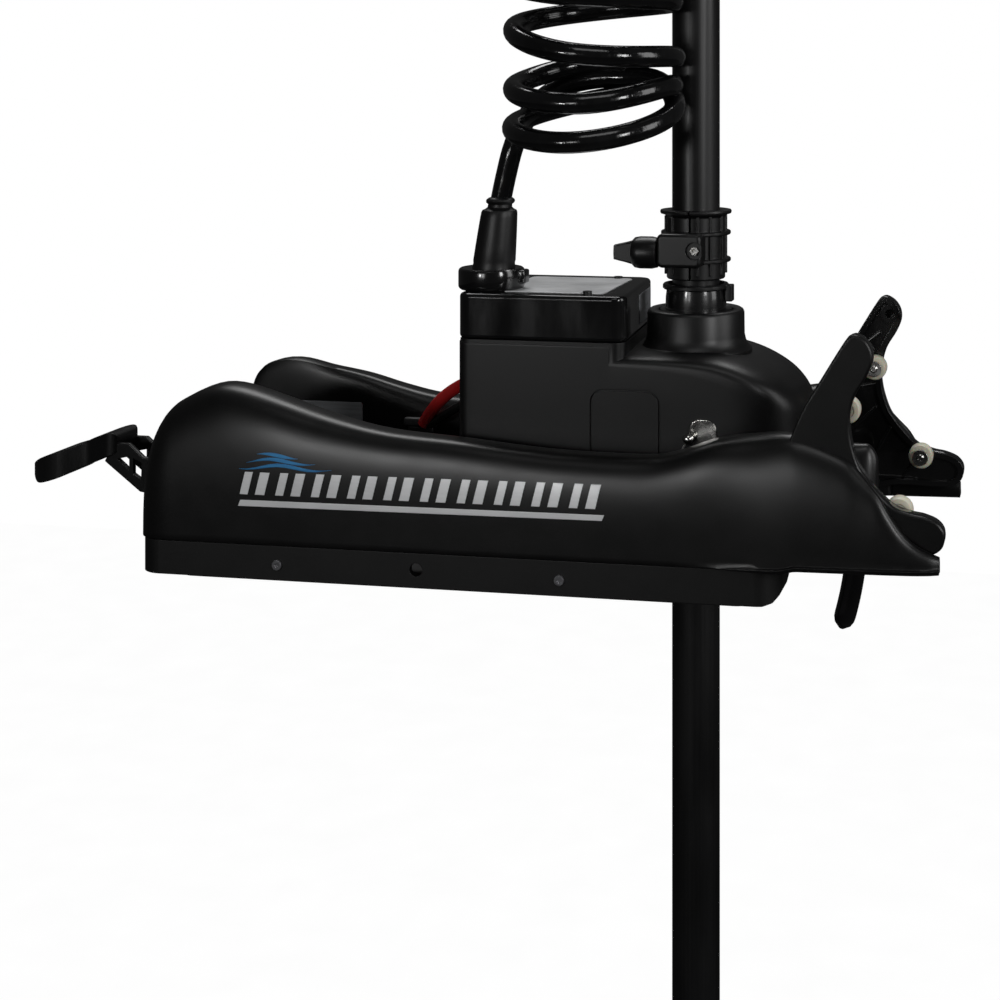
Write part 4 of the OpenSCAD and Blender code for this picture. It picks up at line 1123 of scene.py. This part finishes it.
def wing_knob():
    """Barrel and flat wing of the clamp screw."""
    y, z = -25, 213
    hub = lathe("hub", [(3.1, -37), (8.4, -37), (10, -35.4), (10.6, -32), (10.6, -24), (9.8, -20.4),
        (3.1, -20.4)], (0, y, z), "X", 40)
    outline = closed_curve([(-49.3, -4), (-48.4, -5), (-42, -6.5), (-36, -8), (-30, -8.5), (-30, 8.5),
        (-36, 8), (-42, 6.5), (-48.4, 5), (-49.3, 4)], 5)
    layers = ((-4.2, 0.8), (-3.6, 0.94), (-2.0, 1.0), (2.0, 1.0), (3.6, 0.94), (4.2, 0.8))
    wing = loft("wing", [[(px, y + dy, z + pz * k) for px, pz in outline] for dy, k in layers])
    return join("clamp_knob", hub, wing)


dress(wing_knob(), "satin", "knob", "knob_black", "wing_knob")


# ---- Pedal, finger, leads ----

def pedal():
    """The pad: its side outline crossed with its plan."""
    side = closed_curve([(-480, 50), (-476, 42.5), (-470, 40.6), (-455, 45), (-443, 51), (-430, 56),
        (-420, 60.5), (-413, 64), (-411.5, 69), (-413, 75), (-418, 77), (-430, 73.5), (-445, 66.5),
        (-460, 62), (-473, 56.5)], 4)
    pad = prism("pad", side, -21, 21, 2.6, segments=4)
    plan = closed_curve([(-482, 0), (-478, -12), (-468, -18.6), (-456, -19.4), (-446, -15.6),
        (-437, -12.6), (-428, -14.6), (-418, -16.4), (-412, -12), (-410.5, 0), (-412, 12), (-418, 16.4),
        (-428, 14.6), (-437, 12.6), (-446, 15.6), (-456, 19.4), (-468, 18.6), (-478, 12)], 4)
    cut(pad, slab("plan", plan, 30, 90, 0), "INTERSECT")
    return round_edges(pad, 1.2, 3, limit=50)


def pedal_lever():
    """Two plates with plain windows that carry the pad."""
    outline = [(-344, 38), (-341, 54), (-393.5, 61), (-404, 70), (-416, 70), (-423, 57), (-396, 36.5),
        (-380, 34)]
    plates = []
    for y in (-14, 10):
        plate = prism("plate", outline, y, y + 4, 0.8)
        for window in ([(-413, 59), (-404, 51.5), (-404, 61)],
                [(-401, 60), (-401, 49), (-395, 45), (-394.5, 57)]):
            cut(plate, prism("window", window, y - 2, y + 6, 0))
        plates.append(plate)
    return join("pedal_lever", *plates)


dress(pedal(), "satin", "pedal", "pedal_black", "foot_pedal")
dress(pedal_lever(), "satin", "pedal", "pedal_black", "lever_arm")


def finger_radius(t):
    """Full thickness, rounded off over the last stretch."""
    return 7.5 * math.sqrt(max(0.04, 1 - max(0.0, (t - 0.93) / 0.07) ** 2))


def finger():
    """A curved shank with a rounded tip, on a round hub."""
    lo, hi = span("guide_finger")
    y = (lo.y + hi.y) / 2
    path = [bezier([(98, y, 60), (104, y, 30), (105, y, -8), (91, y, -52)], k / 40) for k in range(41)]
    shank = tube("shank", path, finger_radius, 24, squeeze=0.72)
    hub = lathe("hub", [(3.1, -5.4), (9.6, -5.4), (10.8, -4.4), (11, 0), (10.8, 4.4), (9.6, 5.4), (3.1, 5.4)],
                (96, y, 62), "Y", 40)
    return join("finger", shank, hub)


dress(finger(), "gloss", "finger", "arm_black", "guide_finger")


def lead(name, path, radius, look, slot, node):
    """A battery lead, as a fixed tube along its path."""
    piece = tube(name, path, radius, 16, squeeze=0.75)
    piece.data.materials.append(MATERIAL[look])
    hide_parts(node)
    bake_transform(piece)


red_path = [bezier([(-214, 57, 76), (-203, 53, 91), (-192, 42, 108), (BOX_AFT - 0.6, 34, 120)], k / 40)
    for k in range(41)]
black_path = [bezier([(-212, 57.4, 75), (-194, 54, 84), (-180, 42, 98), (BOX_AFT - 0.6, 34, 106)], k / 40)
    for k in range(41)]
lead("lead_red", red_path, 4.4, "red", "lead_red", "lead_positive")
lead("lead_black_wire", black_path, 3.2, "rubber", "lead_black", "lead_negative")
tag = tube("lead_tag", red_path[35:], 4.8, 16, squeeze=0.75)
dress(tag, "yellow", "housing", "lead_red")


def connector():
    """The leads' connector and its boot, against the port cover."""
    pad = slab("connector_pad", rounded_outline(-228, -203, 55, 60.2, 2), 75, 81, 1.4)
    boot = slab("boot", rounded_outline(-225, -206, 55.4, 60, 2), 62, 75.4, 1.6)
    dress(pad, "grey", "mount", "connector_grey", "cable_connector")
    dress(boot, "rubber", "mount", "connector_grey")


connector()


# ---- Head and lower unit ----

def superellipse(x0, x1, y_half, power, count):
    """A rounded rectangle's outline."""
    cx, half = (x0 + x1) / 2, (x1 - x0) / 2
    out = []
    for k in range(count):
        a = 2 * PI * k / count
        c, s = math.cos(a), math.sin(a)
        out.append((cx + half * math.copysign(abs(c) ** power, c),
            y_half * math.copysign(abs(s) ** power, s)))
    return out


def head():
    """Control head: cover, tray with a neck, and a plain plate."""
    x0, x1, y, z0, z1 = head_lo.x, head_hi.x, head_hi.y, head_lo.z, head_hi.z
    rings = []
    for inset, share in ((0.8, 0.0), (0, 0.03), (0, 0.06), (0.5, 0.3), (2, 0.5), (5, 0.68), (10, 0.82),
            (18, 0.92), (30, 0.975), (44, 1.0)):
        rings.append([(px, py, lerp(z0, z1 - 0.2, share)) for px, py in
                      superellipse(x0 + inset, x1 - inset * 0.8, y - inset * 0.9, 0.42, 96)])
    top = loft("head_top", rings, sharp=50)
    dress(top, "housing", "shaft", "head_black", "head_cover")
    low = head_base_lo.z
    rings = []
    for inset, z in ((30, low + 22), (14, low + 22.6), (6, low + 25), (1.5, low + 31), (0, low + 38),
            (0, z0 - 1.6), (1, z0 - 0.6)):
        rings.append([(px, py, z) for px, py in superellipse(x0 + inset, x1 - inset, y - inset * 0.8,
            0.42, 96)])
    tray = loft("head_tray", rings, sharp=50)
    collar_piece = lathe("head_neck", [(SHAFT_R + 0.1, low), (22, low), (23.6, low + 1.6), (24, low + 16),
        (27, low + 21), (34, low + 24), (SHAFT_R + 0.1, low + 24)], (0, 0, 0), "Z", 72)
    dress(join("head_bottom", tray, collar_piece), "satin", "shaft", "head_black", "head_base")
    badge = slab("head_plate", superellipse(x0 + 42, x1 - 36, y - 32, 0.5, 64), z1 - 0.5, z1 + 0.4, 0.3)
    dress(badge, "gloss", "shaft", "lid_gloss")


head()


def pod():
    """Motor pod with its neck and skeg, nose and tail."""
    x0, x1, r = pod_lo.x, pod_hi.x, POD_R
    body = lathe("pod", [(r - 4, x0), (r - 0.6, x0), (r, x0 + 0.8), (r, x1 - 0.8), (r - 0.6, x1),
        (r - 4, x1)], (0, 0, POD_Z), "X", 96)
    rings = []
    for k in range(15):
        t = k / 14
        z = POD_Z + lerp(r - 8, 84, t)
        flare = (1 - smooth(t)) * 16
        rings.append([(px, py, z) for px, py in
                      superellipse(-21.5 - flare * 1.6, 21.5 + flare * 1.6, 21.5 + flare * 0.5, 1.0, 48)])
    neck_piece = loft("neck", rings)
    lip = lathe("lip", [(SHAFT_R + 0.1, -4), (22.4, -4), (23, -3), (23, 2.4), (22, 3.4),
        (SHAFT_R + 0.1, 3.4)], (0, 0, POD_Z + 84), "Z", 64)
    rings = []
    for k in range(11):
        t = k / 10
        z = POD_Z - lerp(r - 5, 116, t)
        front, back = lerp(34, -20, t ** 0.9), lerp(-54, -42, t)
        thick = lerp(4.2, 1.8, t)
        rings.append([(lerp(back, front, (1 + math.cos(a)) / 2),
            thick * math.sin(a) * (1.1 - 0.5 * math.cos(a)), z) for a in [2 * PI * j / 28
            for j in range(28)]])
    fin = loft("fin", rings)
    dress(join("pod_body", body, neck_piece, lip, fin), "pod", "shaft", "pod_black", "pod_tube")
    length = nose_hi.x - nose_lo.x
    nose = [(r - 3, 0), (r - 0.5, 0), (r, 0.8)] + [(r * math.cos(a), length * math.sin(a))
        for a in [PI / 2 * k / 22 for k in range(1, 22)]] + [(0.01, length - 0.1)]
    dress(lathe("nose", nose + [(0.01, 20)], (nose_lo.x, 0, POD_Z), "X", 96), "pod", "shaft",
        "pod_black", "nose_cone")
    tail_len = tail_hi.x - tail_lo.x
    tail = [(12, 0.4), (27, 0), (29, 1.4), (31, 4)] + [
        (lerp(31, r, smooth(k / 10) ** 0.8), lerp(4, tail_len - 2, k / 10)) for k in range(1, 11)]
    tail += [(r, tail_len - 0.8), (r - 0.6, tail_len), (r - 4, tail_len), (12, tail_len - 14)]
    dress(lathe("tail", tail, (tail_lo.x, 0, POD_Z), "X", 96), "pod", "shaft", "pod_black",
        "tail_cap")


pod()


def propeller():
    """Hub and two swept blades."""
    x0, x1 = prop_lo.x + 6, tail_lo.x - 2
    radius = (prop_hi.z - prop_lo.z) / 2
    hub = lathe("hub", [(12.2, -6), (19, -6), (21.5, -5), (25.5, -1), (27, 3), (27.2, x1 - x0 - 1),
        (26.4, x1 - x0), (5.2, x1 - x0), (5.2, 4), (12.2, 2)], (-158, 0, POD_Z), "X", 72)
    blades = []
    for turn in (0, PI):
        rings = []
        for k in range(26):
            s = k / 25
            r = 22 + s * (radius - 22)
            chord = (30 + 46 * math.sin(PI * s ** 0.8) * (1 - 0.35 * s) - 12 * s) * math.sqrt(max(0.02,
                1 - max(0, (s - 0.82) / 0.18) ** 2.2))
            pitch = math.radians(62 - 36 * s)
            sweep, thick = 34 * s * s, 4.6 - 3.2 * s
            ring = []
            for j in range(28):
                a = 2 * PI * j / 28
                u, w = chord / 2 * math.cos(a), thick / 2 * math.sin(a) * (1 + 0.4 * math.cos(a))
                x = u * math.cos(pitch) - w * math.sin(pitch)
                y = u * math.sin(pitch) + w * math.cos(pitch) - sweep
                flip = 1 if turn == 0 else -1
                ring.append(((x0 + x1) / 2 - 2 + x, flip * y, POD_Z + flip * r))
            rings.append(ring)
        blades.append(loft("blade", rings, sharp=60))
    return join("prop_blades", hub, *blades)


dress(propeller(), "prop", "rotor", "prop_black", "propeller")


# ---- CAD nodes that stay: better materials ----

KEPT = {
    "base": "base_plate",
    "steel": "roller_bolts hinge_tube lever_pins",
    "zinc": "hinge_brackets latch_guide",
    "spring": "tilt_springs cover_screws",
    "dim_label": "rating_label",
    "bright": "latch_pin motor_bearings prop_shaft prop_nut",
    "housing": "housing_bottom",
    "satin": "sleeve_bushes housing_screws",
    "can": "steering_motor",
    "brass": "motor_pinion",
    "board": "control_board head_board",
    "gear": "drive_gear",
    "shaft": "shaft_tube",
    "magnet": "field_magnets",
    "brush": "brush_plate",
    "rubber": "shaft_seal",
    "windings": "armature",
}
for look, nodes in KEPT.items():
    for node in nodes.split():
        obj = frame["nodes"][node]
        if not obj.material_slots:
            obj.data.materials.append(MATERIAL[look])
        for material_slot in obj.material_slots:
            material_slot.material = MATERIAL[look]


# ---- Stage, light, camera ----

def stage():
    """A plain pale floor, bright to the camera and dim to everything else."""
    mesh = bpy.data.meshes.new("floor")
    size, floor_z = 14.0, -4.0
    mesh.from_pydata([(x, y, floor_z) for x, y in ((-size, -size), (size, -size), (size, size),
        (-size, size))], [], [(0, 1, 2, 3)])
    floor = bpy.data.objects.new("floor", mesh)
    bpy.context.scene.collection.objects.link(floor)
    n = Nodes("floor_paper")
    pale = n.blend(n.noise(3, 3), (0.96, 0.96, 0.96), (1.0, 1.0, 1.0))
    n.set(Base_Color=(0.25, 0.25, 0.25, 1), Roughness=0.9, Specular_IOR_Level=0.0)
    n.link(pale, n.bsdf.inputs["Emission Color"])
    n.link(n.add("ShaderNodeLightPath").outputs["Is Camera Ray"], n.bsdf.inputs["Emission Strength"])
    mesh.materials.append(n.material)
    return floor


def world():
    """White to the camera, dim to everything else, so that black plastic stays black."""
    scene_world = bpy.data.worlds.new("world")
    scene_world.use_nodes = True
    tree = scene_world.node_tree
    path = tree.nodes.new("ShaderNodeLightPath")
    strength = tree.nodes.new("ShaderNodeMapRange")
    strength.inputs["To Min"].default_value = 0.03
    strength.inputs["To Max"].default_value = 1.0
    tree.links.new(path.outputs["Is Camera Ray"], strength.inputs["Value"])
    background = tree.nodes["Background"]
    background.inputs["Color"].default_value = (1, 1, 1, 1)
    tree.links.new(strength.outputs["Result"], background.inputs["Strength"])
    bpy.context.scene.world = scene_world


def light(name, location, target, size, power):
    """A soft rectangular lamp that points at its target."""
    data = bpy.data.lights.new(name, "AREA")
    data.shape = "RECTANGLE"
    data.size, data.size_y = size
    data.energy = power
    lamp = bpy.data.objects.new(name, data)
    lamp.location = location
    lamp.rotation_euler = (Vector(target) - Vector(location)).to_track_quat("-Z", "Y").to_euler()
    bpy.context.scene.collection.objects.link(lamp)


def camera(floor):
    """A level camera at the photograph's angle. Its frame is shifted, so that upright edges stay upright.
    The shift fades out further from the origin, so that a view of the whole part stays centred."""
    near, far = 1.5, 2.0
    data = bpy.data.cameras.new("camera")
    data.sensor_width, data.lens = 36, 64.8
    data.clip_start, data.clip_end = 0.05, 60
    obj = bpy.data.objects.new("camera", data)
    obj.location = (SHAFT_X + 0.2531, -1.1787, 0.343)
    obj.rotation_euler = (PI / 2, 0, math.radians(10.4))
    bpy.context.scene.collection.objects.link(obj)
    bpy.context.scene.camera = obj
    for channel, shift in (("shift_x", -0.25), ("shift_y", -0.445)):
        curve = data.driver_add(channel)
        curve.modifiers.remove(curve.modifiers[0])
        for distance, value in ((near, shift), (far, 0)):
            curve.keyframe_points.insert(distance, value)
        curve.driver.type = "SUM"
        variable = curve.driver.variables.new()
        variable.type = "LOC_DIFF"
        variable.targets[0].id, variable.targets[1].id = obj, floor


floor = stage()
centre = (SHAFT_X - 0.1, 0, 0.1)
light("key", (0.5, -1.5, 2.4), centre, (1.4, 0.8), 6)
light("front", (SHAFT_X - 0.58, -2.4, 0.42), centre, (0.35, 0.5), 3)
light("top", (-0.2, 1.2, 2.4), centre, (2.2, 0.9), 32)
light("rim", (2.4, -0.2, 0.9), centre, (0.8, 1.6), 12)
light("flank", (1.6, -1.2, 0.6), centre, (0.3, 0.6), 8)
light("glint", (SHAFT_X - 0.58, -1.178, 0.3), (SHAFT_X - 0.06, 0, 0.33), (0.12, 0.12), 1.5)
camera(floor)
world()
bpy.context.scene.view_settings.view_transform = "Standard"
